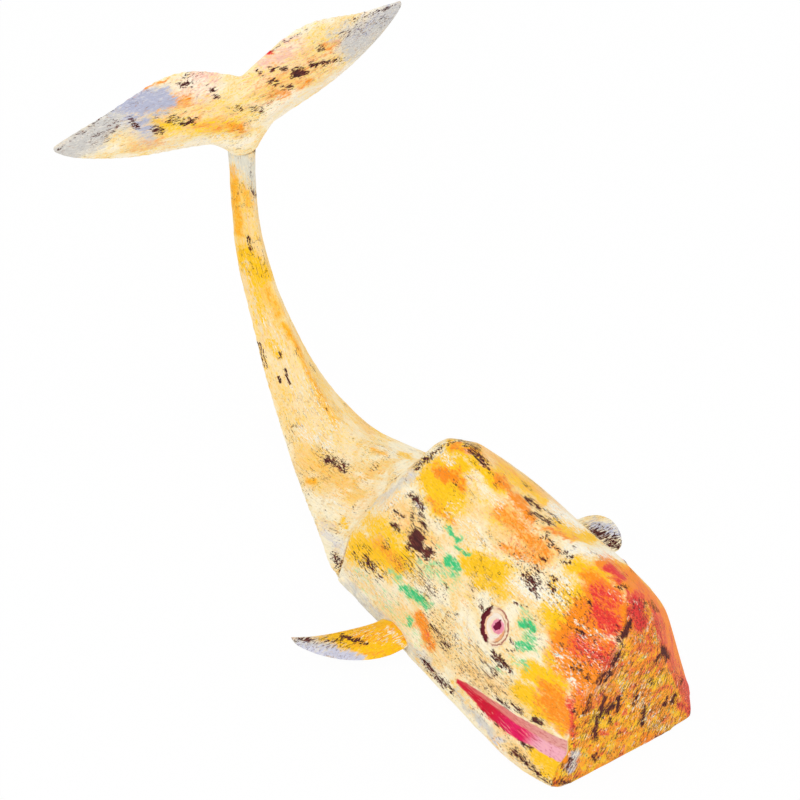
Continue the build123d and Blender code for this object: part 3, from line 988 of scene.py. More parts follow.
@dataclass(frozen=True)
class EyeMark:
    """A carved and painted eye on one cheek."""

    side: str
    centre: Vector
    normal: Vector
    radius: float = 14.5 * MM
    groove_width: float = 1.8 * MM
    groove_depth: float = 1.4 * MM
    ring_shares: tuple[float, float, float] = (1.0, 0.70, 0.46)
    ring_depths: tuple[float, float, float] = (1.0, 0.55, 0.8)
    dome_height: float = 1.0 * MM
    dome_share: float = 0.40
    refined_share: float = 1.35
    carved_share: float = 1.5
    fade_shares: tuple[float, float] = (1.12, 1.4)
    skin: float = 12 * MM

    @property
    def level(self) -> Vector:
        """The direction in the eye's plane that runs forward along the body."""
        forward = Vector((1.0, 0.0, 0.0))
        return (forward - self.normal * forward.dot(self.normal)).normalized()

    @property
    def rise(self) -> Vector:
        """The direction in the eye's plane that runs up the cheek."""
        above = self.normal.cross(self.level)
        return above if above.z > 0 else -above

    def local(self, places: np.ndarray) -> tuple[np.ndarray, np.ndarray, np.ndarray]:
        """Says how far forward, up the cheek and out of it places are from the eye."""
        away = places - np.array(self.centre)
        return away @ np.array(self.level), away @ np.array(self.rise), away @ np.array(self.normal)

    def profile(self, forward: np.ndarray, upward: np.ndarray) -> np.ndarray:
        """Gives the height of the carved rings.

        Args:
            forward: Distance forward of the centre.
            upward: Distance up the cheek from the centre.

        Returns:
            Heights over the cheek, below 0 in a groove.
        """
        reach = np.hypot(forward, upward)
        height = np.zeros(len(reach))
        for share, depth in zip(self.ring_shares, self.ring_depths):
            off = np.abs(reach - self.radius * share + self.groove_width * 0.4)
            height -= self.groove_depth * depth * (1.0 - smooth(off, 0.2 * self.groove_width, self.groove_width))
        dome = 1.0 - smooth(reach, 0.0, self.radius * self.dome_share)
        return height + dome * self.dome_height

    def carve(self, piece: bpy.types.Object) -> None:
        """Refines the mesh round the eye and presses the rings into it.

        Args:
            piece: The trunk.
        """
        places, _ = Modelling.read_surface(piece)
        forward, upward, outward = self.local(places)
        near = (np.hypot(forward, upward) < self.radius * self.refined_share) & (np.abs(outward) < self.skin)
        Modelling.pick(piece)
        mesh = bmesh.new()
        mesh.from_mesh(piece.data)
        mesh.verts.ensure_lookup_table()
        for vertex, chosen in zip(mesh.verts, near):
            vertex.select = bool(chosen)
        mesh.select_flush(True)
        mesh.to_mesh(piece.data)
        mesh.free()
        bpy.ops.object.mode_set(mode="EDIT")
        bpy.ops.mesh.select_mode(type="VERT")
        bpy.ops.mesh.subdivide(number_cuts=2, smoothness=0.0)
        bpy.ops.object.mode_set(mode="OBJECT")
        places, _ = Modelling.read_surface(piece)
        forward, upward, outward = self.local(places)
        reach = np.hypot(forward, upward)
        near = (reach < self.radius * self.carved_share) & (np.abs(outward) < self.skin)
        full, gone = self.fade_shares
        flat = (1.0 - smooth(reach, self.radius * full, self.radius * gone)) * near
        lift = flat * (self.profile(forward, upward) - outward)
        Modelling.move_surface(piece, places + lift[:, None] * np.array(self.normal))


@dataclass(frozen=True)
class EyeStroke:
    """A painted arc round an eye: its ring in millimetres, its sector in degrees, and its colour."""

    radius: float
    half: float
    soft: float
    heading: float
    inner: float
    outer: float
    strength: float
    colour: Colour

    def lay(self, bench: Bench, reach: Any, toward: Any, under: Any) -> Any:
        """Paints the arc.

        Args:
            bench: The material's tree.
            reach: Distance from the eye's centre.
            toward: Direction from it.
            under: The colour below.

        Returns:
            The colour with the arc.
        """
        heading = (math.cos(math.radians(self.heading)), math.sin(math.radians(self.heading)), 0.0)
        turn = bench.vector("DOT_PRODUCT", toward, heading)
        sector = bench.rise(turn, math.cos(math.radians(self.outer)), math.cos(math.radians(self.inner)))
        mask = bench.times(ring(bench, reach, self.radius, self.half, self.soft), sector)
        return bench.blend(bench.times(mask, self.strength), under, self.colour)


def ring(bench: Bench, reach: Any, radius: float, half: float, soft: float) -> Any:
    """Returns a mask of a ring, all in millimetres."""
    return bench.rise(bench.math("ABSOLUTE", bench.minus(reach, radius)), half + soft, half)


EYE_STROKES = (
    EyeStroke(9.6, 0.6, 1.2, 200.0, 40.0, 75.0, 0.70, rgb(0.93, 0.50, 0.22)),
    EyeStroke(9.8, 1.0, 0.6, -15.0, 20.0, 55.0, 0.80, rgb(0.80, 0.32, 0.08)),
    EyeStroke(13.4, 0.25, 0.5, 20.0, 80.0, 110.0, 0.85, rgb(0.36, 0.08, 0.06)),
    EyeStroke(11.2, 0.2, 0.5, 10.0, 60.0, 90.0, 0.75, rgb(0.40, 0.14, 0.08)),
    EyeStroke(12.7, 2.0, 0.5, 206.0, 56.0, 72.0, 1.00, rgb(0.13, 0.009, 0.018)),
)


@dataclass(frozen=True)
class FeatureTones:
    """The colours of the lips, from the mouth's corner to the face, and of the eyes."""

    lower_rear: Colour = rgb(0.64, 0.004, 0.030)
    lower_middle: Colour = rgb(0.80, 0.010, 0.12)
    lower_front: Colour = rgb(0.86, 0.42, 0.50)
    upper_rear: Colour = rgb(0.68, 0.03, 0.05)
    upper_middle: Colour = rgb(0.78, 0.22, 0.18)
    upper_front: Colour = rgb(0.80, 0.38, 0.34)
    pale_scuff: Colour = rgb(0.94, 0.50, 0.42)
    dark_scuff: Colour = rgb(0.48, 0.02, 0.04)
    eye_ground: Colour = rgb(0.92, 0.74, 0.56)
    eye_white: Colour = rgb(0.90, 0.84, 0.76)
    iris: Colour = rgb(0.85, 0.30, 0.40)
    core: Colour = rgb(0.17, 0.003, 0.035)


@dataclass
class HeadAndTrunk(PaintedPiece):
    """The log-shaped body with its sloping face, mouth and eyes."""

    eyes: tuple[EyeMark, EyeMark] = (
        EyeMark("right", Vector((0.1649, -0.0567, 0.0910)), Vector((0.0, -0.880, 0.475))),
        EyeMark("left", Vector((0.1630, 0.0613, 0.0880)), Vector((0.0, 0.848, 0.530))),
    )
    mouth_rear: Vector = field(default_factory=lambda: Vector((0.140, 0.0, 0.0250)))
    mouth_front: Vector = field(default_factory=lambda: Vector((0.266, 0.0, 0.0410)))
    lip_openings: tuple[float, float] = (6.5, 16.0)
    left_mouth_size: float = 0.3
    face_border: tuple[Point, ...] = ((-16, 143), (-40, 104), (-50, 64), (-54, 43.5), (-59, 7.5))
    face_border_reach: float = 8 * MM
    mouth_levels: tuple[float, float] = (30 * MM, 62 * MM)
    face_turn: float = 0.62
    face_stroke: float = math.radians(21.0)
    corner_heading: tuple[float, float, float] = (1.0, 1.0, -0.6)
    corner_reach: float = 20 * MM
    front_start: float = 0.19
    left_foot: float = 10 * MM
    border_rounding: int = 26
    left_rounding: int = 160
    corner_rounding: int = 70
    feature_jitter: float = 3.2
    iris_centre: tuple[float, float, float] = (3.0, 2.2, 0.0)
    core_centre: tuple[float, float, float] = (3.2, 1.9, 0.0)
    paint_reach: tuple[float, float] = (30 * MM, 20 * MM)
    no_eye: float = 99.0
    left_turn: float = 3.0
    features: FeatureTones = FeatureTones()

    def carve(self, piece: bpy.types.Object) -> None:
        """Rounds the face's border and the left of the head, and presses both eyes into the cheeks.

        Args:
            piece: The trunk.
        """
        Modelling.soften(piece, self.at_face_border(piece), self.border_rounding)
        places, _ = Modelling.read_surface(piece)
        front_left = (places[:, 0] > self.front_start) & (places[:, 1] > 0.0) & (places[:, 2] > self.left_foot)
        Modelling.soften(piece, front_left, self.left_rounding)
        places, _ = Modelling.read_surface(piece)
        corner = places[np.argmax(places @ np.array(self.corner_heading))]
        Modelling.soften(piece, np.linalg.norm(places - corner, axis=1) < self.corner_reach, self.corner_rounding)
        for eye in self.eyes:
            eye.carve(piece)
            log.info("%s eye: carved", eye.side)

    def at_face_border(self, piece: bpy.types.Object) -> np.ndarray:
        """Finds the points along the arris between the face and the right cheek.

        Args:
            piece: The trunk.

        Returns:
            True for each point near it, but not beside the mouth.
        """
        places, _ = Modelling.read_surface(piece)
        off, _ = beside_line(np.array(self.face_border) * MM, places[:, 1:])
        mouth_foot, mouth_top = self.mouth_levels
        beside_mouth = (places[:, 2] > mouth_foot) & (places[:, 2] < mouth_top)
        return (off < self.face_border_reach) & (places[:, 0] > self.front_start) & ~beside_mouth

    def grain(self, places: np.ndarray, normals: np.ndarray) -> np.ndarray:
        """Runs the strokes along the body, and slanting up on the face.

        Args:
            places: Places in metres, one to a row.
            normals: The surface's unit normals there.

        Returns:
            Coordinates along and across the strokes, in millimetres.
        """
        strokes = places / MM
        on_face = normals[:, 0] > self.face_turn
        side, up = strokes[on_face, 1].copy(), strokes[on_face, 2].copy()
        sine, cosine = math.sin(self.face_stroke), math.cos(self.face_stroke)
        strokes[on_face, 2] = strokes[on_face, 0]
        strokes[on_face, 0] = side * sine + up * cosine
        strokes[on_face, 1] = side * cosine - up * sine
        return strokes

    def extra_paint(self, layers: PaintLayers, places: np.ndarray, normals: np.ndarray) -> None:
        """Dabs broken touches of every warm colour over the face, and warms the left cheek's front.

        Args:
            layers: The colour layers, changed in place.
            places: Places in metres, one to a row.
            normals: The surface's unit normals there.
        """
        face = smooth(normals[:, 0], 0.45, 0.65) * smooth(places[:, 0], 0.18, 0.20)
        rows = np.flatnonzero(face > 0)
        for touches in FACE_TOUCHES:
            layers.add(touches.pigment, touches.cover(places[rows]) * touches.strength * face[rows], rows)
        ragged = sum(wander(places, size, seed) * reach for size, seed, reach in CHEEK_EDGE_WAVES)
        left = smooth(normals[:, 1], 0.25, 0.55) * (places[:, 1] > 0.02)
        for pigment, rear, front, strength in LEFT_CHEEK_BANDS:
            layers.add(pigment, smooth(places[:, 0] + ragged, rear, front) * left * strength)

    def mark_places(self, piece: bpy.types.Object) -> None:
        """Stores each point's place beside the eyes and the mouth.

        Args:
            piece: The trunk.
        """
        places, normals = Modelling.read_surface(piece)
        eye_place = np.full((len(places), 3), self.no_eye)
        wide, deep = self.paint_reach
        for eye in self.eyes:
            local = np.stack(eye.local(places), axis=1)
            near = (np.hypot(local[:, 0], local[:, 1]) < wide) & (np.abs(local[:, 2]) < deep)
            eye_place[near] = local[near] / MM
        Modelling.store(piece, "eye_place", "FLOAT_VECTOR", eye_place)
        run = self.mouth_front.x - self.mouth_rear.x
        share = (places[:, 0] - self.mouth_rear.x) / run
        middle = self.mouth_rear.z + share * (self.mouth_front.z - self.mouth_rear.z)
        off = (places[:, 2] - middle) / MM
        left = places[:, 1] > 0
        off[left] /= self.left_mouth_size
        turned = np.where(left, normals[:, 0] * self.left_turn, normals[:, 0])
        Modelling.store(piece, "mouth_place", "FLOAT_VECTOR", np.stack([share, off, turned], axis=1))

    def detail(self, bench: Bench, colour: Any) -> Any:
        """Paints the mouth and then the eyes over the coats."""
        return self.paint_eyes(bench, self.paint_mouth(bench, colour))

    def paint_mouth(self, bench: Bench, colour: Any) -> Any:
        """Paints the mouth crimson at its corner and pink towards the face.

        Args:
            bench: The material's tree.
            colour: The colour under it.

        Returns:
            The colour with the mouth.
        """
        place = bench.node("ShaderNodeSeparateXYZ", {0: bench.attribute("mouth_place").outputs["Vector"]}).outputs
        grain = bench.attribute("grain").outputs["Vector"]
        ragged = bench.times(bench.minus(LIP_EDGE.noise(bench, grain), 0.5), self.feature_jitter)
        share = place[0]
        spread = bench.math("POWER", bench.math("MAXIMUM", share, 0.0), 0.5)
        off = bench.plus(place[1], ragged)
        below, above = self.lip_openings
        top = bench.minus(bench.times(spread, above - 1.0), off)
        spill = bench.times(bench.rise(share, 0.10, 0.35), bench.rise(share, 0.75, 0.60, 0.6, 2.6))
        bottom = bench.plus(bench.plus(bench.times(spread, below), spill), off)
        inside = bench.times(bench.rise(top, -0.6, 1.0), bench.rise(bottom, -0.5, 0.6))
        inside = bench.times(inside, bench.rise(share, 0.025, 0.045))
        inside = bench.times(inside, bench.rise(place[2], 0.60, 0.48))
        along = bench.plus(share, bench.times(ragged, 0.02))
        look = self.features
        lower = bench.blend(bench.rise(along, 0.34, 0.56), look.lower_rear, look.lower_middle)
        lower = bench.blend(bench.rise(along, 0.62, 0.76), lower, look.lower_front)
        upper = bench.blend(bench.rise(along, 0.06, 0.34), look.upper_rear, look.upper_middle)
        upper = bench.blend(bench.rise(along, 0.4, 0.9), upper, look.upper_front)
        scuffed = LIP_SCUFFS.noise(bench, grain)
        lips = bench.blend(bench.rise(off, 0.8, 2.8), lower, upper)
        lips = bench.blend(bench.rise(scuffed, 0.56, 0.66, 0.0, 0.42), lips, look.pale_scuff)
        lips = bench.blend(bench.rise(scuffed, 0.46, 0.38, 0.0, 0.60), lips, look.dark_scuff)
        return bench.blend(inside, colour, lips)

    def paint_eyes(self, bench: Bench, colour: Any) -> Any:
        """Paints the crescent, the rings and the iris of each eye.

        Args:
            bench: The material's tree.
            colour: The colour under them.

        Returns:
            The colour with the eyes.
        """
        place = bench.attribute("eye_place").outputs["Vector"]
        parts = bench.node("ShaderNodeSeparateXYZ", {0: place}).outputs
        jitter = bench.noise(bench.stretch(place, (0.35, 0.35, 0.35)), 3.0, 0.6)
        jitter = bench.times(bench.minus(jitter, 0.5), self.feature_jitter)
        flat = bench.node("ShaderNodeCombineXYZ", {0: parts[0], 1: parts[1]}).outputs[0]
        reach = bench.plus(bench.vector("LENGTH", flat), jitter)
        toward = bench.node("ShaderNodeVectorMath", {0: flat}, operation="NORMALIZE").outputs[0]
        colour = bench.blend(bench.times(bench.rise(reach, 15.0, 13.6), 0.7), colour, self.features.eye_ground)
        colour = bench.blend(bench.times(ring(bench, reach, 8.0, 1.6, 1.0), 0.7), colour, self.features.eye_white)
        for stroke in EYE_STROKES:
            colour = stroke.lay(bench, reach, toward, colour)
        iris_off = bench.plus(bench.vector("DISTANCE", flat, self.iris_centre), jitter)
        colour = bench.blend(bench.rise(iris_off, 6.2, 5.0), colour, self.features.iris)
        tall = bench.stretch(flat, (1.35, 0.72, 1.0))
        core_off = bench.plus(bench.vector("DISTANCE", tall, self.core_centre), bench.times(jitter, 2.0))
        return bench.blend(bench.rise(core_off, 3.9, 3.2), colour, self.features.core)


@dataclass
class TailStem(PaintedPiece):
    """The tail that sweeps back from the trunk and up to the flukes."""

    ridge: tuple[Point, ...] = (
        (-8, 88),
        (-34, 68),
        (-57, 53),
        (-93, 40),
        (-122, 35),
        (-143, 41),
        (-167, 56),
        (-198, 88),
        (-219, 115),
        (-232, 145),
        (-238, 172),
        (-240, 200),
        (-241, 226),
    )

    def grain(self, places: np.ndarray, normals: np.ndarray) -> np.ndarray:
        """Runs the strokes along the tail's ridge line."""
        off, along = beside_line(np.array(self.ridge) * MM, places[:, (0, 2)])
        return np.stack([-along, places[:, 1], off], axis=1) / MM


@dataclass
class Flukes(PaintedPiece):
    """The tail flukes, two lobes cut from one board."""

    def grain(self, places: np.ndarray, normals: np.ndarray) -> np.ndarray:
        """Runs the strokes along the span."""
        return places[:, (1, 2, 0)] / MM


@dataclass
class Flipper(PaintedPiece):
    """A flipper, a thin blade pegged into the flank."""

    def grain(self, places: np.ndarray, normals: np.ndarray) -> np.ndarray:
        """Runs the strokes out along the blade."""
        return places[:, (1, 0, 2)] / MM


@dataclass(frozen=True)
class BareWood:
    """Bare beech of the dowels and pegs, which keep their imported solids."""

    light: Colour = rgb(0.62, 0.42, 0.24)
    dark: Colour = rgb(0.36, 0.20, 0.10)

    def material(self) -> bpy.types.Material:
        """Builds the wood.

        Returns:
            The material.
        """
        material, bench, shader = new_material("dowel_wood")
        coords = bench.node("ShaderNodeTexCoord").outputs["Object"]
        rings = bench.noise(bench.stretch(coords, (60.0, 900.0, 900.0)), 4.0, 0.6, 0.5)
        bench.feed(shader.inputs["Base Color"], bench.blend(bench.rise(rings, 0.35, 0.65), self.light, self.dark))
        bench.feed(shader.inputs["Roughness"], bench.rise(rings, 0.3, 0.7, 0.55, 0.75))
        bump = bench.node("ShaderNodeBump", {"Strength": 0.4, "Distance": 0.0003, "Height": rings})
        bench.feed(shader.inputs["Normal"], bump.outputs[0])
        return material

    def dress(self, names: Sequence[str]) -> None:
        """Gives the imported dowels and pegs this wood.

        Args:
            names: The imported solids' names.
        """
        material = self.material()
        for name in names:
            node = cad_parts[name]
            if not node.material_slots:
                node.data.materials.append(material)
            for slot in node.material_slots:
                slot.material = material
            log.info("%s: bare wood", name)


@dataclass(frozen=True)
class Studio:
    """Plain soft light, a pale floor and a white surround."""

    floor_size: float = 8.0
    floor_drop: float = 0.8 * MM
    sky_level: float = 0.85
    floor_white: float = 0.97
    lamp_width: float = 1.6
    lamp_aim: tuple[float, float, float] = (0.0, 0.0, 0.1)
    lamps: tuple[tuple[str, tuple[float, float, float], float], ...] = (
        ("key_light", (0.4, -1.9, 2.5), 20.0),
        ("fill_light", (2.3, -0.5, 0.6), 6.5),
        ("rim_light", (0.3, 1.9, 2.0), 8.0),
    )

    def build(self) -> None:
        """Adds the world, the floor and the lamps."""
        self.surround()
        self.floor()
        for name, place, power in self.lamps:
            self.lamp(name, Vector(place), power)
        log.info("studio: floor and light")

    def whiteness(self, bench: Bench) -> Any:
        """Finds the rays that see the surround itself.

        Args:
            bench: The tree that asks.

        Returns:
            1 for those rays and 0 for all others.
        """
        path = bench.node("ShaderNodeLightPath").outputs
        seen = bench.plus(path["Is Camera Ray"], path["Is Glossy Ray"])
        return bench.math("ADD", seen, path["Is Transmission Ray"], clamp=True)

    def surround(self) -> None:
        """Lights the scene evenly, and shows white behind it."""
        world = bpy.data.worlds.new("surround")
        bpy.context.scene.world = world
        world.use_nodes = True
        bench = Bench(world.node_tree)
        output = world.node_tree.nodes["World Output"]
        light = world.node_tree.nodes["Background"]
        light.inputs[0].default_value = rgb(1.0, 1.0, 1.0)
        light.inputs[1].default_value = self.sky_level
        white = bench.node("ShaderNodeBackground", {0: rgb(1.0, 1.0, 1.0), 1: 1.0})
        mixed = bench.node("ShaderNodeMixShader", {0: self.whiteness(bench), 1: light.outputs[0], 2: white.outputs[0]})
        bench.feed(output.inputs[0], mixed.outputs[0])

    def floor(self) -> None:
        """Adds the floor, white to the camera but for the object's shadow."""
        Modelling.clear_selection()
        bpy.ops.mesh.primitive_plane_add(size=self.floor_size, location=(0.0, 0.0, -self.floor_drop))
        plane = bpy.context.active_object
        plane.name = "floor"
        material, bench, shader = new_material("pale_floor")
        output = material.node_tree.nodes["Material Output"]
        shader.inputs["Base Color"].default_value = rgb(0.86, 0.86, 0.86)
        shader.inputs["Roughness"].default_value = 0.9
        shader.inputs["Specular IOR Level"].default_value = 0.0
        glow = bench.node("ShaderNodeEmission", {0: rgb(1.0, 1.0, 1.0), 1: 1.0})
        share = bench.times(self.whiteness(bench), self.floor_white)
        mixed = bench.node("ShaderNodeMixShader", {0: share, 1: shader.outputs[0], 2: glow.outputs[0]})
        bench.feed(output.inputs[0], mixed.outputs[0])
        plane.data.materials.append(material)

    def lamp(self, name: str, place: Vector, power: float) -> None:
        """Adds a soft lamp that points at the object.

        Args:
            name: The lamp's name.
            place: Where it stands, in metres.
            power: Its power in watts.
        """
        data = bpy.data.lights.new(name, "AREA")
        data.shape = "DISK"
        data.size = self.lamp_width
        data.energy = power
        lamp = bpy.data.objects.new(name, data)
        bpy.context.scene.collection.objects.link(lamp)
        lamp.location = place
        lamp.rotation_euler = (Vector(self.lamp_aim) - place).to_track_quat("-Z", "Y").to_euler()


def run(name: str, pigment: Pigment, *marks: Sequence[float]) -> tuple[Daub, ...]:
    """Names a run of like marks a, b, c and so on: each is a start, an end, a width and a strength."""
    lettered = zip("abcdefg", marks)
    return tuple(Daub(f"{name} {letter}", pigment, mark[:2], mark[2:4], *mark[4:]) for letter, mark in lettered)


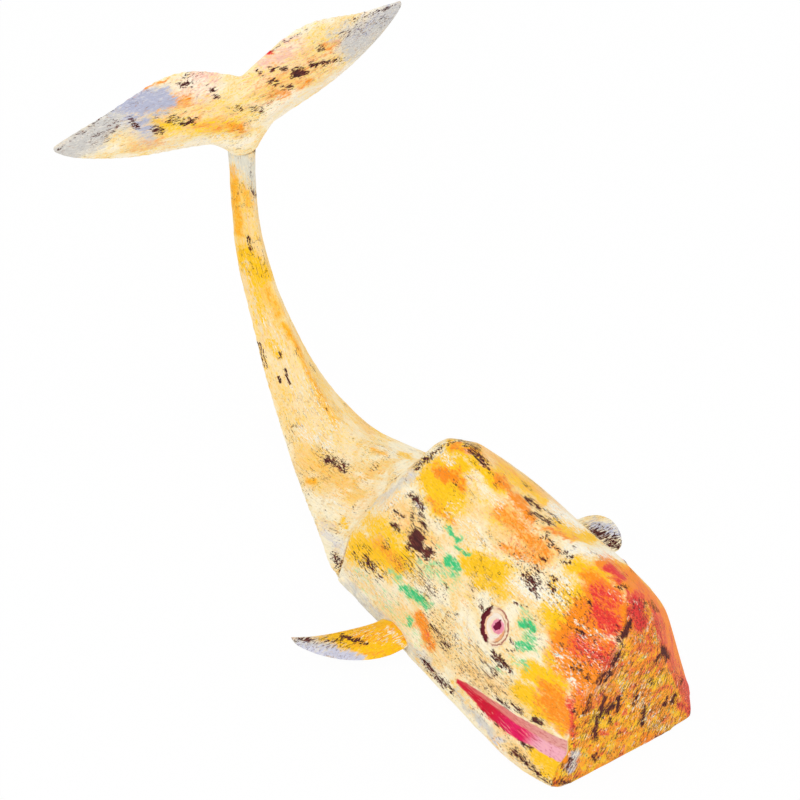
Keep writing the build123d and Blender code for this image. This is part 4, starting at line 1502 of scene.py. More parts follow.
TRUNK_DAUBS = (
    # Roof and crown
    Daub("crown gold", Y, (450, 449), (474, 452), 14, 1.2),
    Daub("crown orange", O, (452, 447), (472, 451), 8, 1),
    Daub("crown edge chips", C, (462, 441), (478, 449), 4, 0.75),
    Daub("crown streak chip", C, (470, 449), (486, 464), 5, 0.95),
    Daub("crown slit", C, (481, 461), (494, 475), 2.5, 0.85),
    Daub("crown grey", K, (466, 450), (482, 462), 10, 0.45),
    Daub("golden roof patch", Y, (440, 478), (448, 500), 36, 1.6),
    Daub("golden roof top", Y, (444, 462), (462, 466), 20, 1.35),
    Daub("golden patch heart", O, (436, 470), (454, 478), 13, 1.2),
    Daub("golden patch right", O, (456, 470), (462, 490), 10, 0.9),
    Daub("golden patch foot", O, (430, 500), (452, 520), 12, 0.7),
    Daub("ridge pink mottle", M, (463, 470), (478, 486), 14, 0.55),
    Daub("ridge yellow", Y, (476, 462), (500, 488), 13, 1.3),
    Daub("ridge orange high", O, (474, 450), (500, 480), 8, 0.7),
    Daub("ridge orange", O, (498, 478), (530, 516), 11, 1.05),
    Daub("ridge foot orange", O, (522, 505), (532, 520), 13, 1.05),
    Daub("roof cream left", W, (455, 510), (480, 540), 22, 0.45),
    Daub("roof cream upper", W, (482, 488), (500, 505), 12, 0.5),
    Daub("roof peach", P, (455, 500), (500, 530), 40, 0.75),
    Daub("roof gold flecks", Y, (470, 488), (500, 520), 26, 0.62),
    Daub("roof orange mottle", O, (503, 512), (545, 552), 24, 0.85),
    Daub("roof peach mottle", P, (500, 505), (545, 555), 44, 0.9),
    Daub("roof red spot", R, (513, 541), (530, 551), 11, 0.42),
    Daub("roof low orange", O, (505, 548), (545, 560), 18, 0.8),
    *run(
        "far ridge chips",
        C,
        (526, 499, 540, 508, 4, 0.9),
        (530, 511, 553, 524, 3.2, 0.95),
        (541, 507, 562, 523, 2.5, 0.6),
    ),
    Daub("far ridge specks", F, (527, 515), (540, 524), 8, 0.9),
    Daub("far ridge red run", O, (545, 527), (575, 540), 8, 0.85),
    Daub("far ridge red", R, (548, 528), (566, 537), 5, 0.45),
    Daub("far roof ground", O, (484, 448), (560, 505), 16, 0.52),
    Daub("far roof gold", Y, (500, 470), (530, 490), 18, 0.9),
    Daub("far roof peach", P, (482, 446), (560, 505), 34, 0.95),
    Daub("far roof gold spot", Y, (530, 491), (545, 502), 9, 0.9),
    Daub("far roof cream", W, (553, 508), (580, 525), 16, 0.8),
    Daub("far roof yellow", Y, (560, 524), (590, 538), 15, 1.3),
    Daub("far roof edge grey", K, (548, 498), (610, 545), 5, 0.5),
    # White paint along the crest's fold, which is also a painted highlight where the fold catches the light.
    Daub("crest white", W, (570, 548), (628, 556), 12, 0.8),
    Daub("crest lilac tint", M, (575, 546), (606, 552), 10, 0.4),
    *run(
        "crest line chips",
        C,
        (549, 543, 562, 551, 3.5, 0.75),
        (560, 550, 571, 556, 3.5, 0.7),
        (546, 536, 553, 544, 2.5, 0.8),
    ),
    Daub("crest tiny chips", C, (563, 562), (569, 562), 2.5, 0.5),
    # Rear shoulder and its chips
    *run("shoulder edge chips", C, (417, 467, 428, 458, 5, 0.8), (428, 458, 441, 447, 3.5, 0.62)),
    Daub("shoulder edge line", C, (440, 446), (462, 440), 2.5, 0.45),
    Daub("shoulder grey seam", K, (370, 508), (414, 474), 9, 0.72),
    Daub("shoulder lilac seam", L, (382, 496), (412, 472), 6, 0.6),
    Daub("shoulder cream", W, (376, 512), (408, 490), 12, 0.55),
    Daub("shoulder top cream", W, (440, 452), (450, 462), 10, 0.6),
    Daub("trail chip high", C, (412, 496), (417, 500), 6, 1.05),
    Daub("trail chip lilac", L, (415, 498), (424, 508), 4, 0.8),
    Daub("trail chip mid", C, (421, 503), (424, 526), 3.6, 0.85),
    Daub("trail chip left", C, (411, 500), (414, 525), 3.2, 0.55),
    Daub("trail scratches", S, (418, 500), (424, 528), 12, 0.9),
    Daub("big maroon chip", C, (416, 534), (418, 547), 10, 1.6),
    Daub("big chip spread", C, (410, 546), (428, 552), 9, 1.1),
    *run(
        "big chip spike",
        C,
        (420, 546, 433, 553, 3, 1),
        (420, 549, 428, 557, 3, 0.95),
        (422, 530, 422, 540, 3, 0.7),
    ),
    *run("ring chip arc", C, (393, 524, 398, 529, 3, 1), (394, 511, 401, 514, 2.5, 0.9)),
    Daub("ring chip specks", F, (390, 508), (402, 530), 14, 0.8),
    Daub("amber under trail", O, (402, 520), (434, 552), 24, 0.42),
    Daub("amber ground", P, (395, 505), (440, 560), 38, 0.8),
    # Gold wedge on the flank
    Daub("wedge gold", Y, (360, 548), (398, 560), 34, 1.25),
    Daub("wedge gold high", Y, (370, 520), (398, 540), 26, 0.95),
    Daub("wedge orange", O, (378, 540), (398, 565), 17, 0.72),
    Daub("wedge foot", Y, (384, 570), (392, 586), 12, 0.65),
    Daub("wedge chip", C, (366, 557), (373, 567), 5, 1),
    Daub("wedge chip side", C, (360, 562), (363, 566), 3, 0.7),
    Daub("wedge chip spread", C, (362, 554), (380, 574), 12, 0.34),
    Daub("wedge specks", F, (358, 554), (382, 576), 20, 0.6),
    Daub("flank amber", P, (380, 590), (410, 625), 22, 0.5),
    Daub("flank cream grey", K, (345, 560), (395, 612), 16, 0.4),
    Daub("flank white", W, (352, 572), (384, 600), 12, 0.45),
    # Greens
    Daub("green streak", G, (446, 526), (457, 538), 6.75, 1.4),
    Daub("green streak tail", G, (455, 546), (468, 556), 5.4, 1.33),
    Daub("green shoulder spot", G, (449, 560), (457, 568), 10.8, 1.72),
    Daub("green shoulder foot", G, (452, 568), (454, 576), 6.75, 1.09),
    Daub("pale green wash", G, (428, 566), (452, 578), 24.3, 0.78),
    Daub("pale green high", G, (436, 548), (448, 556), 16.2, 0.59),
    Daub("green flank top", G, (390, 571), (400, 580), 9.45, 0.94),
    Daub("green flank trail", G, (404, 588), (418, 598), 10.8, 1.49),
    Daub("green flank end", G, (418, 598), (429, 605), 12.2, 1.25),
    Daub("pale green spot", G, (392, 597), (400, 610), 8.1, 0.78),
    Daub("small green spot", G, (408, 620), (411, 625), 6.75, 1.33),
    Daub("eye green upper", G, (524, 624), (531, 628), 10.8, 1.72),
    Daub("eye green mid", G, (527, 630), (533, 640), 9.45, 1.09),
    Daub("eye green lower", G, (519, 644), (528, 649), 8.1, 1.72),
    Daub("eye green side", G, (528, 640), (536, 648), 12.2, 0.94),
    Daub("eye green pale top", G, (521, 608), (530, 618), 10.8, 0.78),
    Daub("eye green pale foot", G, (516, 660), (528, 668), 10.8, 0.94),
    Daub("eye green trail", Y, (508, 656), (534, 690), 6, 0.4),
    Daub("green by chips", G, (497, 668), (501, 672), 5.4, 1.09),
    # Flank
    Daub("shoulder yellow", Y, (472, 562), (500, 574), 26, 1.3),
    Daub("shoulder yellow low", Y, (478, 580), (508, 592), 20, 1),
    Daub("shoulder yellow left", Y, (466, 592), (470, 595), 10, 0.6),
    Daub("shoulder peach", P, (455, 575), (470, 590), 26, 0.7),
    Daub("flank amber high", P, (455, 595), (475, 610), 20, 0.5),
    Daub("flank orange patch", O, (419, 618), (431, 645), 13, 1),
    Daub("flank red patch", R, (425, 628), (430, 645), 7, 0.55),
    Daub("flank orange hem", P, (424, 610), (440, 655), 26, 0.7),
    *run("flank brown streak", C, (431, 626, 438, 636, 3.2, 0.95), (438, 636, 448, 647, 5, 0.62)),
    Daub("flank brown specks", F, (430, 615), (455, 650), 24, 1),
    Daub("flank scratches", S, (405, 560), (428, 590), 20, 1),
    Daub("flank scratch specks", F, (404, 562), (440, 600), 22, 0.9),
    Daub("flank cream", W, (455, 615), (470, 640), 16, 0.5),
    Daub("eye rear cream", W, (458, 640), (476, 660), 20, 0.45),
    *run("lower edge streak", C, (424, 661, 442, 682, 4.5, 1), (442, 682, 452, 691, 4, 0.85)),
    Daub("lower edge specks", F, (420, 655), (460, 700), 14, 0.8),
    Daub("lower edge lilac", L, (424, 652), (440, 672), 6, 0.5),
    Daub("cheek amber", P, (462, 668), (500, 690), 24, 0.85),
    Daub("cheek ochre specks", F, (465, 668), (495, 692), 22, 1),
    Daub("cheek hair lines", S, (475, 662), (505, 690), 24, 0.9),
    # Round the eye
    *run(
        "under eye chip",
        C,
        (494, 653, 503, 664, 5, 1.12),
        (503, 664, 510, 671, 4, 1),
        (492, 657, 498, 666, 2.5, 0.8),
        (493, 669, 496, 677, 3, 0.8),
    ),
    *run("under eye chip small", C, (509, 651, 514, 649, 2.6, 0.9), (510, 639, 513, 643, 2.6, 0.9)),
    Daub("brow streak", C, (515, 602), (527, 608), 1.8, 0.85),
    *run("eye top chip", C, (481, 606, 485, 610, 2.4, 1), (488, 609, 492, 607, 3, 1)),
    Daub("eye ground cream", W, (505, 612), (515, 645), 18, 0.45),
    Daub("brow peach spot", P, (517, 592), (523, 600), 8, 0.95),
    # Chips before the crest
    Daub("roof chip core", C, (527, 575), (534, 582), 9, 0.92),
    Daub("roof chip foot", C, (528, 582), (535, 596), 4.5, 0.8),
    Daub("roof chip top", C, (536, 566), (539, 570), 4, 0.85),
    Daub("roof chip upper", C, (541, 556), (545, 560), 3.2, 0.95),
    Daub("roof ring chip", C, (549, 585), (554, 591), 3.6, 0.9),
    Daub("roof dot chip", C, (553, 578), (556, 580), 2.8, 0.85),
    Daub("roof chip specks", F, (520, 562), (562, 600), 34, 0.95),
    Daub("chip ground cream", W, (520, 585), (560, 600), 24, 0.7),
    Daub("chip ground amber", P, (535, 560), (552, 585), 20, 0.6),
    Daub("crest cream", W, (556, 572), (568, 588), 14, 0.6),
    Daub("crest brown arcs", S, (562, 558), (575, 566), 8, 0.6),
    # Head front
    Daub("brow yellow", Y, (575, 566), (600, 578), 20, 1.2),
    Daub("head yellow", Y, (562, 590), (582, 600), 26, 1.4),
    Daub("head yellow low", Y, (551, 606), (562, 628), 24, 1.45),
    Daub("head yellow foot", Y, (548, 655), (560, 700), 16, 1),
    Daub("brow orange", O, (588, 576), (600, 586), 20, 1.1),
    Daub("head orange", O, (580, 606), (570, 630), 17, 1.4),
    Daub("head orange wide", O, (590, 620), (570, 645), 40, 1.4),
    Daub("head orange low", O, (570, 660), (600, 668), 34, 1.5),
    Daub("head orange edge", O, (604, 650), (590, 685), 22, 1.5),
    Daub("head orange foot", O, (576, 668), (584, 706), 18, 1.5),
    Daub("head red foot", R, (578, 686), (584, 704), 12, 0.6),
    Daub("head red patch", R, (598, 592), (614, 600), 22, 0.85),
    Daub("head red low", R, (598, 612), (612, 626), 26, 0.95),
    Daub("head pink mottle", M, (600, 595), (610, 622), 24, 0.95),
    Daub("head orange ground", O, (600, 595), (624, 620), 34, 1.4),
    Daub("head red flecks", R, (580, 645), (606, 660), 30, 0.85),
    Daub("head red edge", R, (608, 652), (616, 640), 7, 0.7),
    Daub("brow crimson", R, (609, 567), (622, 578), 9, 1.1),
    Daub("brow orange hem", O, (604, 562), (640, 592), 16, 1.3),
    Daub("brow ridge red", R, (628, 590), (629, 622), 5, 1),
    *run("brow ring chip", C, (617, 586, 620, 591, 2.4, 0.9), (621, 585, 628, 588, 2.4, 0.8)),
    Daub("brow dot", C, (589, 601), (591, 604), 3.4, 0.6),
    Daub("head chip", C, (576, 629), (583, 634), 2.4, 1),
    Daub("edge chip", C, (587, 677), (589, 680), 3, 0.9),
    Daub("edge chip low", C, (575, 710), (577, 714), 3, 0.8),
    *run(
        "head dry brush",
        W,
        (577, 622, 606, 640, 9, 0.44),
        (575, 634, 600, 648, 9, 0.42),
        (556, 650, 584, 668, 14, 0.4),
        (560, 665, 585, 690, 18, 0.42),
        (586, 650, 600, 668, 14, 0.38),
        (568, 690, 580, 700, 12, 0.25),
    ),
    Daub("head white dabs", W, (557, 655), (562, 658), 6, 0.8),
    Daub("head white dab low", W, (570, 678), (574, 684), 6, 0.8),
    Daub("head dry sparkle", W, (552, 606), (572, 612), 10, 0.28),
    Daub("head specks", F, (575, 612), (604, 676), 46, 0.8),
    Daub("head hair lines", S, (575, 612), (604, 676), 46, 0.7),
    Daub("brow sparkle", W, (610, 592), (624, 600), 10, 0.36),
    # Upper jaw
    Daub("jaw yellow bright", Y, (530, 672), (556, 684), 22, 1.4),
    Daub("jaw orange heart", O, (545, 688), (562, 700), 22, 1),
    Daub("jaw orange", O, (548, 700), (570, 722), 30, 1.05),
    Daub("jaw yellow mid", Y, (520, 690), (545, 712), 18, 1.4),
    Daub("jaw yellow hem", Y, (545, 714), (562, 730), 10, 1.1),
    Daub("jaw peach", P, (556, 700), (562, 716), 16, 0.8),
    Daub("jaw red edge", R, (571, 700), (574, 735), 8, 0.85),
    Daub("jaw ochre", P, (505, 690), (530, 708), 20, 0.7),
    *run(
        "mouth top chips",
        C,
        (497, 700, 508, 706, 2.6, 0.8),
        (513, 705, 521, 712, 4, 0.85),
        (534, 719, 541, 724, 3.2, 1),
    ),
    Daub("mouth top specks", F, (508, 700), (545, 725), 10, 0.8),
    # Under the mouth
    Daub("lower lip red", R, (478, 708), (506, 732), 5, 0.6),
    Daub("lower lip chip", C, (499, 722), (506, 728), 3.6, 0.95),
    *run(
        "jaw chips",
        C,
        (514, 734, 522, 739, 3.6, 1),
        (520, 739, 532, 751, 2.6, 0.9),
        (514, 752, 524, 760, 5, 1.05),
        (524, 760, 540, 776, 3.2, 0.9),
        (540, 776, 556, 785, 3, 0.6),
    ),
    Daub("jaw specks", F, (500, 738), (545, 778), 18, 0.9),
    Daub("jaw amber", P, (500, 732), (535, 765), 22, 0.8),
    Daub("jaw yellow", Y, (536, 750), (560, 772), 20, 1.3),
    Daub("jaw yellow foot", Y, (545, 770), (562, 780), 12, 1.1),
    Daub("jaw corner chip", C, (561, 782), (568, 784), 5, 1),
    # The grey along the lower flank is grey paint and also painted shade where the side turns under.
    Daub("lower band grey front", K, (466, 706), (492, 732), 9, 0.9),
    Daub("lower band lilac", L, (480, 722), (500, 742), 7, 0.8),
    Daub("lower band edge", K, (456, 690), (466, 706), 8, 0.8),
    Daub("lower band rear", K, (345, 585), (430, 668), 14, 0.85),
    Daub("lower band green", G, (356, 572), (420, 640), 18, 0.62),
    Daub("lower band lilac rear", L, (340, 560), (352, 585), 10, 0.5),
    Daub("belly edge cream", W, (500, 748), (530, 770), 6, 0.5),
    # Face
    Daub("face orange ground", O, (620, 690), (655, 715), 70, 0.4),
    Daub("face orange low", O, (596, 745), (660, 722), 36, 0.55),
    Daub("face orange high", O, (632, 640), (655, 650), 30, 0.8),
    Daub("face yellow", Y, (662, 665), (676, 690), 26, 1.3),
    Daub("face yellow centre", Y, (640, 672), (650, 676), 14, 0.7),
    Daub("face yellow left", Y, (600, 715), (586, 770), 22, 0.8),
    Daub("face yellow low", Y, (600, 762), (650, 738), 9, 0.8),
    Daub("face yellow flecks", Y, (615, 685), (650, 715), 40, 0.72),
    Daub("face pink mottle", M, (618, 672), (652, 690), 30, 1),
    Daub("face cream streaks", W, (640, 705), (660, 725), 20, 0.42),
    Daub("face cream mid", W, (610, 670), (640, 690), 26, 0.3),
    Daub("face red top", R, (636, 600), (640, 625), 18, 1.1),
    Daub("face crimson top", R, (634, 608), (641, 622), 9, 1.1),
    Daub("face ochre top", P, (643, 625), (655, 650), 26, 0.6),
    Daub("face top red field", R, (640, 632), (656, 662), 22, 0.62),
    Daub("face top pink field", M, (634, 640), (650, 668), 24, 0.85),
    Daub("face middle red field", R, (626, 656), (640, 682), 24, 0.45),
    Daub("face left orange field", O, (606, 694), (618, 712), 22, 0.75),
    Daub("face red border", R, (654, 610), (664, 650), 7, 0.9),
    Daub("face red border low", R, (668, 650), (683, 682), 5, 0.75),
    Daub("face red corner", R, (678, 704), (690, 712), 12, 0.9),
    Daub("face red right edge", R, (682, 684), (690, 705), 9, 0.8),
    Daub("face corner chip high", C, (663, 648), (667, 656), 4.5, 1.4),
    Daub("face corner line", C, (654, 664), (661, 654), 2.4, 1.1),
    Daub("brow corner chip", C, (629, 624), (624, 636), 5, 1.5),
    Daub("brow corner chip low", C, (618, 638), (622, 644), 4, 0.8),
    *run(
        "bevel chips",
        C,
        (604, 674, 597, 682, 3.6, 1.1),
        (611, 672, 605, 682, 3, 1.1),
        (592, 694, 584, 712, 3, 1.1),
        (620, 652, 612, 664, 3, 1.1),
    ),
    Daub("bevel lines", S, (628, 630), (598, 690), 16, 1),
    Daub("bevel grey", K, (628, 632), (598, 692), 13, 0.42),
    Daub("bevel cream", W, (622, 642), (600, 690), 7, 0.32),
    Daub("bevel ochre", P, (628, 632), (598, 692), 18, 0.8),
    Daub("bevel orange", O, (620, 648), (588, 712), 12, 0.55),
    Daub("bevel low lines", S, (598, 692), (574, 760), 14, 0.9),
    Daub("bevel low specks", F, (598, 692), (574, 760), 16, 0.9),
    *run(
        "face slit",
        C,
        (595, 738, 597, 716, 4, 1.3),
        (601, 716, 605, 698, 4.2, 1.3),
        (617, 712, 619, 698, 3.2, 1.35),
        (643, 724, 645, 708, 2.8, 1.3),
        (610, 724, 611, 720, 3, 1.1),
    ),
    Daub("face slit b side", C, (608, 712), (612, 706), 4, 1.1),
    Daub("face thin line", C, (634, 704), (639, 690), 2.2, 1.2),
    Daub("face spot", C, (651, 682), (652, 680), 4, 0.9),
    *run(
        "face ticks",
        C,
        (665, 705, 667, 698, 2.4, 1.2),
        (672, 702, 676, 694, 2.4, 1.2),
        (680, 684, 682, 680, 2.4, 0.8),
    ),
    Daub("face scratch top", S, (636, 612), (658, 628), 14, 1),
    Daub("face grey scratch", C, (640, 600), (648, 604), 2.4, 0.7),
    Daub("face grey scratch low", C, (650, 603), (657, 611), 3, 0.75),
    Daub("face lines", S, (620, 670), (670, 710), 60, 0.85),
    Daub("face specks", F, (600, 700), (670, 690), 70, 0.9),
    *run("face loop", C, (593, 754, 594, 762, 2, 0.9), (597, 752, 597, 758, 2, 0.8)),
    Daub("face corner grey", L, (577, 754), (570, 768), 9, 1),
    Daub("face corner white", W, (578, 752), (572, 766), 5, 0.8),
    Daub("face corner line", C, (571, 760), (566, 770), 2.4, 1.1),
    Daub("face foot chips", C, (656, 738), (666, 734), 3, 0.9),
    # Left cheek
    Daub("cheek peach", P, (652, 600), (690, 700), 26, 1.35),
    Daub("cheek orange", O, (664, 615), (688, 680), 22, 1.3),
    Daub("cheek red streak", R, (686, 680), (691, 706), 10, 0.9),
    Daub("cheek top peach", O, (630, 574), (652, 596), 22, 1.2),
    Daub("cheek red run", R, (664, 628), (688, 690), 10, 0.4),
    Daub("cheek pink run", M, (656, 604), (690, 690), 26, 0.55),
    Daub("cheek red top", R, (640, 586), (660, 612), 14, 0.55),
)

TAIL_DAUBS = (
    Daub("stem peach ground", P, (244, 150), (262, 330), 60, 0.75),
    Daub("stem yellow ground", Y, (244, 160), (262, 330), 60, 0.55),
    Daub("tail peach ground", P, (275, 330), (330, 450), 100, 0.62),
    Daub("tail yellow ground", Y, (272, 330), (330, 430), 90, 0.55),
    Daub("tail cream middle", W, (300, 380), (330, 430), 34, 0.42),
    Daub("root speckle", F, (326, 455), (345, 468), 18, 1),
    Daub("root brown chip", C, (328, 460), (343, 467), 7, 0.75),
    Daub("root orange spot", O, (308, 481), (314, 482), 10, 1),
    Daub("root orange field", O, (315, 462), (350, 490), 34, 0.62),
    Daub("root peach field", P, (307, 458), (360, 496), 56, 0.78),
    Daub("root orange far", O, (355, 480), (385, 466), 18, 0.6),
    Daub("root cream", W, (303, 432), (326, 444), 18, 0.6),
    Daub("root cream low", W, (335, 500), (350, 515), 16, 0.5),
    Daub("root yellow", Y, (343, 520), (346, 527), 8, 0.9),
    Daub("lower flank lilac", L, (322, 528), (346, 556), 18, 0.6),
    Daub("lower flank chips", C, (334, 555), (346, 576), 6, 0.75),
    Daub("stem top grey", K, (230, 145), (258, 180), 26, 1.05),
    Daub("stem brown spot", C, (253, 148), (258, 150), 6, 1.2),
    Daub("stem crack lines", S, (238, 142), (254, 147), 8, 1),
    Daub("stem orange edge", O, (233, 168), (239, 234), 10, 1),
    Daub("stem orange heart", O, (243, 186), (249, 204), 11, 0.8),
    *run("stem chip", C, (252, 189, 255, 195, 3.4, 0.9), (248, 236, 251, 249, 2.8, 0.9)),
    Daub("stem gold band", Y, (245, 255), (262, 275), 26, 1.15),
    Daub("stem gold streak", Y, (253, 280), (261, 320), 16, 0.9),
    Daub("stem far grey", K, (256, 200), (268, 250), 8, 0.6),
    Daub("stem near grey", K, (244, 262), (262, 330), 7, 0.5),
    Daub("stem low cream", W, (268, 320), (296, 390), 18, 0.4),
    Daub("stem orange band", O, (267, 290), (279, 314), 14, 0.8),
    Daub("ridge dark orange", O, (284, 324), (299, 351), 8, 1),
    Daub("ridge orange run", O, (299, 352), (319, 395), 7, 0.9),
    Daub("ridge orange foot", O, (319, 396), (334, 420), 12, 0.8),
    Daub("ridge red touch", R, (290, 335), (297, 348), 4, 0.4),
    *run(
        "mid slit",
        C,
        (280, 353, 280, 358, 2.4, 0.9),
        (286, 370, 289, 383, 2.4, 0.95),
        (278, 378, 280, 381, 2.4, 0.92),
    ),
    Daub("edge chips", C, (259, 344), (266, 366), 3.4, 0.7),
    Daub("mid yellow", Y, (271, 342), (279, 356), 14, 1),
    Daub("far strip peach", P, (300, 330), (370, 430), 18, 0.85),
    Daub("far strip yellow", Y, (310, 350), (385, 440), 12, 0.6),
    Daub("joint orange", O, (372, 450), (385, 454), 8, 0.85),
    Daub("joint yellow", Y, (401, 454), (409, 457), 8, 0.9),
)

FLUKE_DAUBS = (
    Daub("right peach ground", P, (140, 122), (240, 105), 60, 0.62),
    Daub("right yellow ground", Y, (160, 118), (240, 108), 54, 0.52),
    Daub("left peach ground", P, (250, 92), (335, 40), 56, 0.62),
    Daub("left yellow ground", Y, (255, 90), (325, 50), 50, 0.5),
    Daub("right tip grey", K, (60, 155), (112, 122), 30, 1),
    Daub("right tip lilac", L, (62, 150), (118, 118), 26, 0.6),
    Daub("right tip scratches", S, (98, 140), (116, 126), 16, 0.9),
    Daub("right edge lilac", L, (116, 106), (162, 100), 24, 1.4),
    Daub("right mid lilac", L, (128, 118), (148, 130), 24, 0.9),
    Daub("right lobe grey", K, (124, 130), (148, 140), 20, 0.42),
    *run(
        "right lobe chips",
        C,
        (132, 120, 137, 128, 4.8, 0.62),
        (171, 120, 194, 121, 5.6, 0.62),
        (154, 129, 162, 130, 4.8, 0.62),
        (179, 85, 192, 84, 4.8, 0.62),
        (213, 91, 217, 97, 4.8, 0.62),
        (231, 110, 239, 109, 4.8, 0.62),
        (251, 109, 262, 110, 4.8, 0.62),
    ),
    Daub("right lobe yellow", Y, (155, 122), (168, 126), 20, 1),
    Daub("right lobe gold", O, (134, 145), (163, 141), 16, 0.62),
    Daub("right lobe orange", O, (170, 103), (186, 100), 18, 0.78),
    Daub("right lobe pink", M, (190, 76), (215, 74), 8, 0.9),
    Daub("right lobe pink low", M, (185, 102), (215, 95), 14, 0.7),
    Daub("right lobe pink field", M, (184, 90), (208, 82), 32, 0.68),
    Daub("right lobe gold field", Y, (160, 128), (236, 124), 24, 0.8),
    Daub("right orange field", O, (152, 112), (236, 118), 40, 0.46),
    Daub("right lobe orange band", O, (194, 124), (243, 126), 20, 0.62),
    Daub("right lobe white rim", W, (168, 146), (225, 138), 10, 0.5),
    Daub("right lobe upper rim", O, (118, 105), (168, 77), 4, 0.8),
    Daub("left tip grey", K, (352, 50), (398, 12), 30, 0.95),
    Daub("left top grey", K, (332, 34), (396, 14), 14, 0.7),
    Daub("left tip lilac", L, (355, 38), (394, 10), 24, 0.8),
    Daub("left tip scratches", S, (345, 35), (385, 18), 14, 0.9),
    Daub("left pale yellow", Y, (295, 42), (328, 31), 20, 0.55),
    Daub("left pink high", M, (286, 44), (296, 38), 10, 0.8),
    Daub("left pink low", M, (267, 60), (288, 54), 18, 0.95),
    Daub("left magenta dot", R, (267, 53), (269, 53), 5, 1),
    *run(
        "left chips",
        C,
        (259, 73, 261, 74, 4.8, 0.66),
        (270, 82, 275, 82, 4.8, 0.66),
        (283, 87, 290, 86, 4.8, 0.66),
    ),
    Daub("left chips line", C, (269, 69), (286, 68), 3.2, 0.82),
    Daub("left big chip", C, (295, 74), (303, 72), 5.95, 1.2),
    Daub("left streak", C, (312, 65), (329, 62), 3.6, 0.95),
    Daub("left streak tip", C, (331, 62), (339, 59), 3.6, 0.65),
    Daub("left streak top", C, (319, 49), (323, 47), 3.6, 0.65),
    Daub("left orange low", O, (270, 95), (286, 91), 16, 0.8),
    Daub("left orange mid", O, (299, 85), (309, 82), 14, 0.78),
    Daub("left orange top", O, (328, 48), (337, 43), 14, 0.75),
    Daub("left gold field", O, (262, 88), (326, 60), 44, 0.55),
    Daub("left pink field", M, (262, 70), (300, 48), 26, 0.66),
    Daub("left rim brown", C, (270, 52), (300, 33), 2, 0.35),
    Daub("left tip rim", C, (350, 21), (396, 5), 2, 0.45),
    Daub("right tip rim", C, (60, 149), (120, 103), 2, 0.45),
    Daub("crotch orange", O, (232, 128), (242, 127), 12, 0.85),
    Daub("left white rim", W, (280, 110), (352, 68), 9, 0.62),
)

RIGHT_FLIPPER_DAUBS = (
    Daub("blade orange", O, (360, 636), (402, 630), 30, 0.58),
    Daub("blade gold", Y, (340, 642), (404, 640), 46, 1.55),
    Daub("blade low orange", O, (365, 655), (398, 650), 10, 0.55),
    Daub("root white rim", W, (388, 630), (407, 648), 7, 0.6),
    Daub("blade white dots", W, (355, 632), (398, 640), 16, 0.36),
    Daub("edge lilac", L, (300, 646), (358, 659), 15, 1.2),
    Daub("tip grey", K, (294, 640), (326, 643), 14, 0.8),
    Daub("tip pink", M, (294, 638), (330, 640), 10, 0.6),
    Daub("tip specks", F, (294, 640), (340, 645), 12, 0.9),
    Daub("dark streak", C, (342, 636), (364, 642), 4, 0.85),
    Daub("dark streak tip", C, (325, 640), (341, 641), 4, 0.55),
    Daub("tip streak", C, (298, 638), (312, 640), 3, 0.7),
)

# The left flipper lies in shade: its grey and its brown bands, laid with the chip pigment, are painted shade over its
# lilac and peach paint.
LEFT_FLIPPER_DAUBS = (
    Daub("tip lilac", L, (594, 526), (618, 532), 16, 0.9),
    Daub("tip grey", K, (596, 526), (616, 534), 12, 0.4),
    Daub("brown band", C, (592, 532), (614, 540), 12, 0.85),
    Daub("brown streaks", C, (594, 533), (610, 540), 7, 0.85),
    Daub("brown lower band", C, (606, 542), (622, 548), 8, 0.8),
    Daub("brown root", P, (600, 538), (622, 548), 16, 0.5),
)

DOWELS = (
    "right_tail_dowel",
    "left_tail_dowel",
    "fluke_dowel",
    "right_flipper_peg",
    "left_flipper_peg",
)


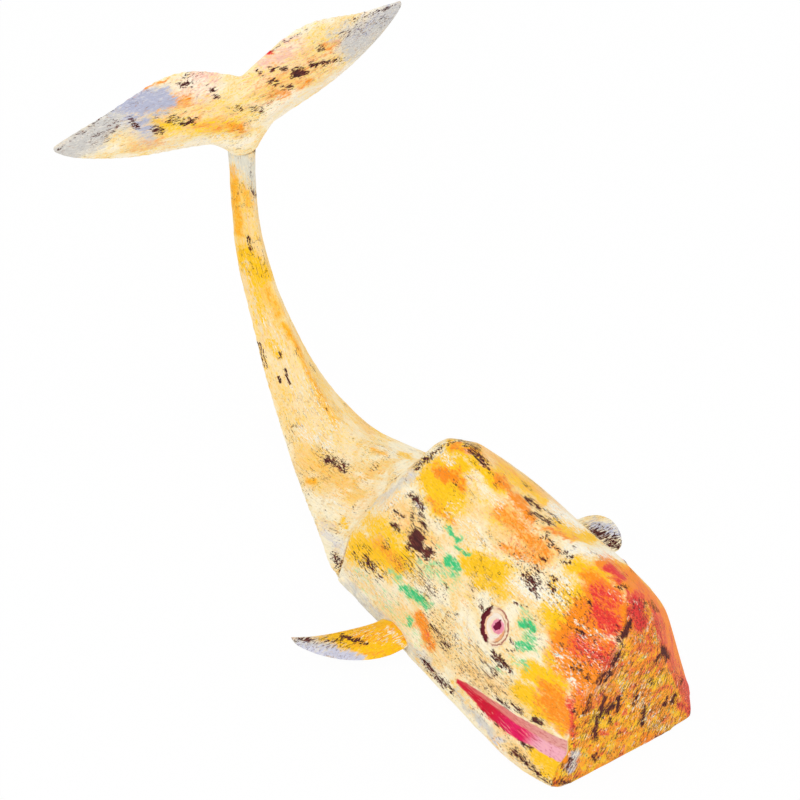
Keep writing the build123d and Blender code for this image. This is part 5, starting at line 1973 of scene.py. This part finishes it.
TAIL_TONES = PaintTones(
    orange_thin=rgb(0.98, 0.62, 0.10),
    orange_thick=rgb(0.97, 0.42, 0.01),
    grey_thin=rgb(0.82, 0.78, 0.62),
    grey_thick=rgb(0.72, 0.70, 0.60),
)

FLUKE_TONES = PaintTones(
    pale=rgb(1.0, 0.92, 0.74),
    cream=rgb(1.0, 0.86, 0.50),
    amber=rgb(0.96, 0.62, 0.20),
    peach_thin=rgb(1.0, 0.80, 0.38),
    peach_thick=rgb(1.0, 0.62, 0.20),
    yellow_thin=rgb(1.0, 0.78, 0.20),
    yellow_thick=rgb(1.0, 0.62, 0.02),
    lilac_thin=rgb(0.62, 0.62, 0.68),
    lilac_thick=rgb(0.46, 0.48, 0.62),
    grey_thin=rgb(0.70, 0.66, 0.60),
    grey_thick=rgb(0.60, 0.59, 0.57),
    pink_thin=rgb(0.98, 0.74, 0.58),
    pink_thick=rgb(0.94, 0.54, 0.45),
    # A paler painted highlight for the flukes' grit.
    chalk=rgb(1.0, 0.94, 0.78),
)


def whale_pieces() -> tuple[PaintedPiece, ...]:
    """Returns the painted pieces in the order they are built."""
    return (
        HeadAndTrunk("head_and_trunk", "trunk_paint", TRUNK_DAUBS, 1.88 * MM, 11),
        TailStem("tail_stem", "tail_paint", TAIL_DAUBS, 1.25 * MM, 8, paint_shake=0.5, tones=TAIL_TONES),
        Flukes("flukes", "fluke_paint", FLUKE_DAUBS, 0.8 * MM, 44, mirrored=False, waviness=0.3, tones=FLUKE_TONES),
        Flipper("right_flipper", "flipper_paint", RIGHT_FLIPPER_DAUBS, 0.6 * MM, 12, mirrored=False, waviness=0.5),
        Flipper("left_flipper", "flipper_paint", LEFT_FLIPPER_DAUBS, 0.6 * MM, 12, mirrored=False, waviness=0.5),
    )


def main() -> None:
    """Builds the studio, the camera and every piece."""
    logging.basicConfig(level=logging.INFO, format="%(message)s")
    scene = bpy.context.scene
    scene.view_settings.view_transform = "Standard"
    view = PhotoView()
    view.place()
    Studio().build()
    box = PaintBox()
    for piece in whale_pieces():
        piece.build(view, box)
    BareWood().dress(DOWELS)


if __name__ == "__main__":
    main()
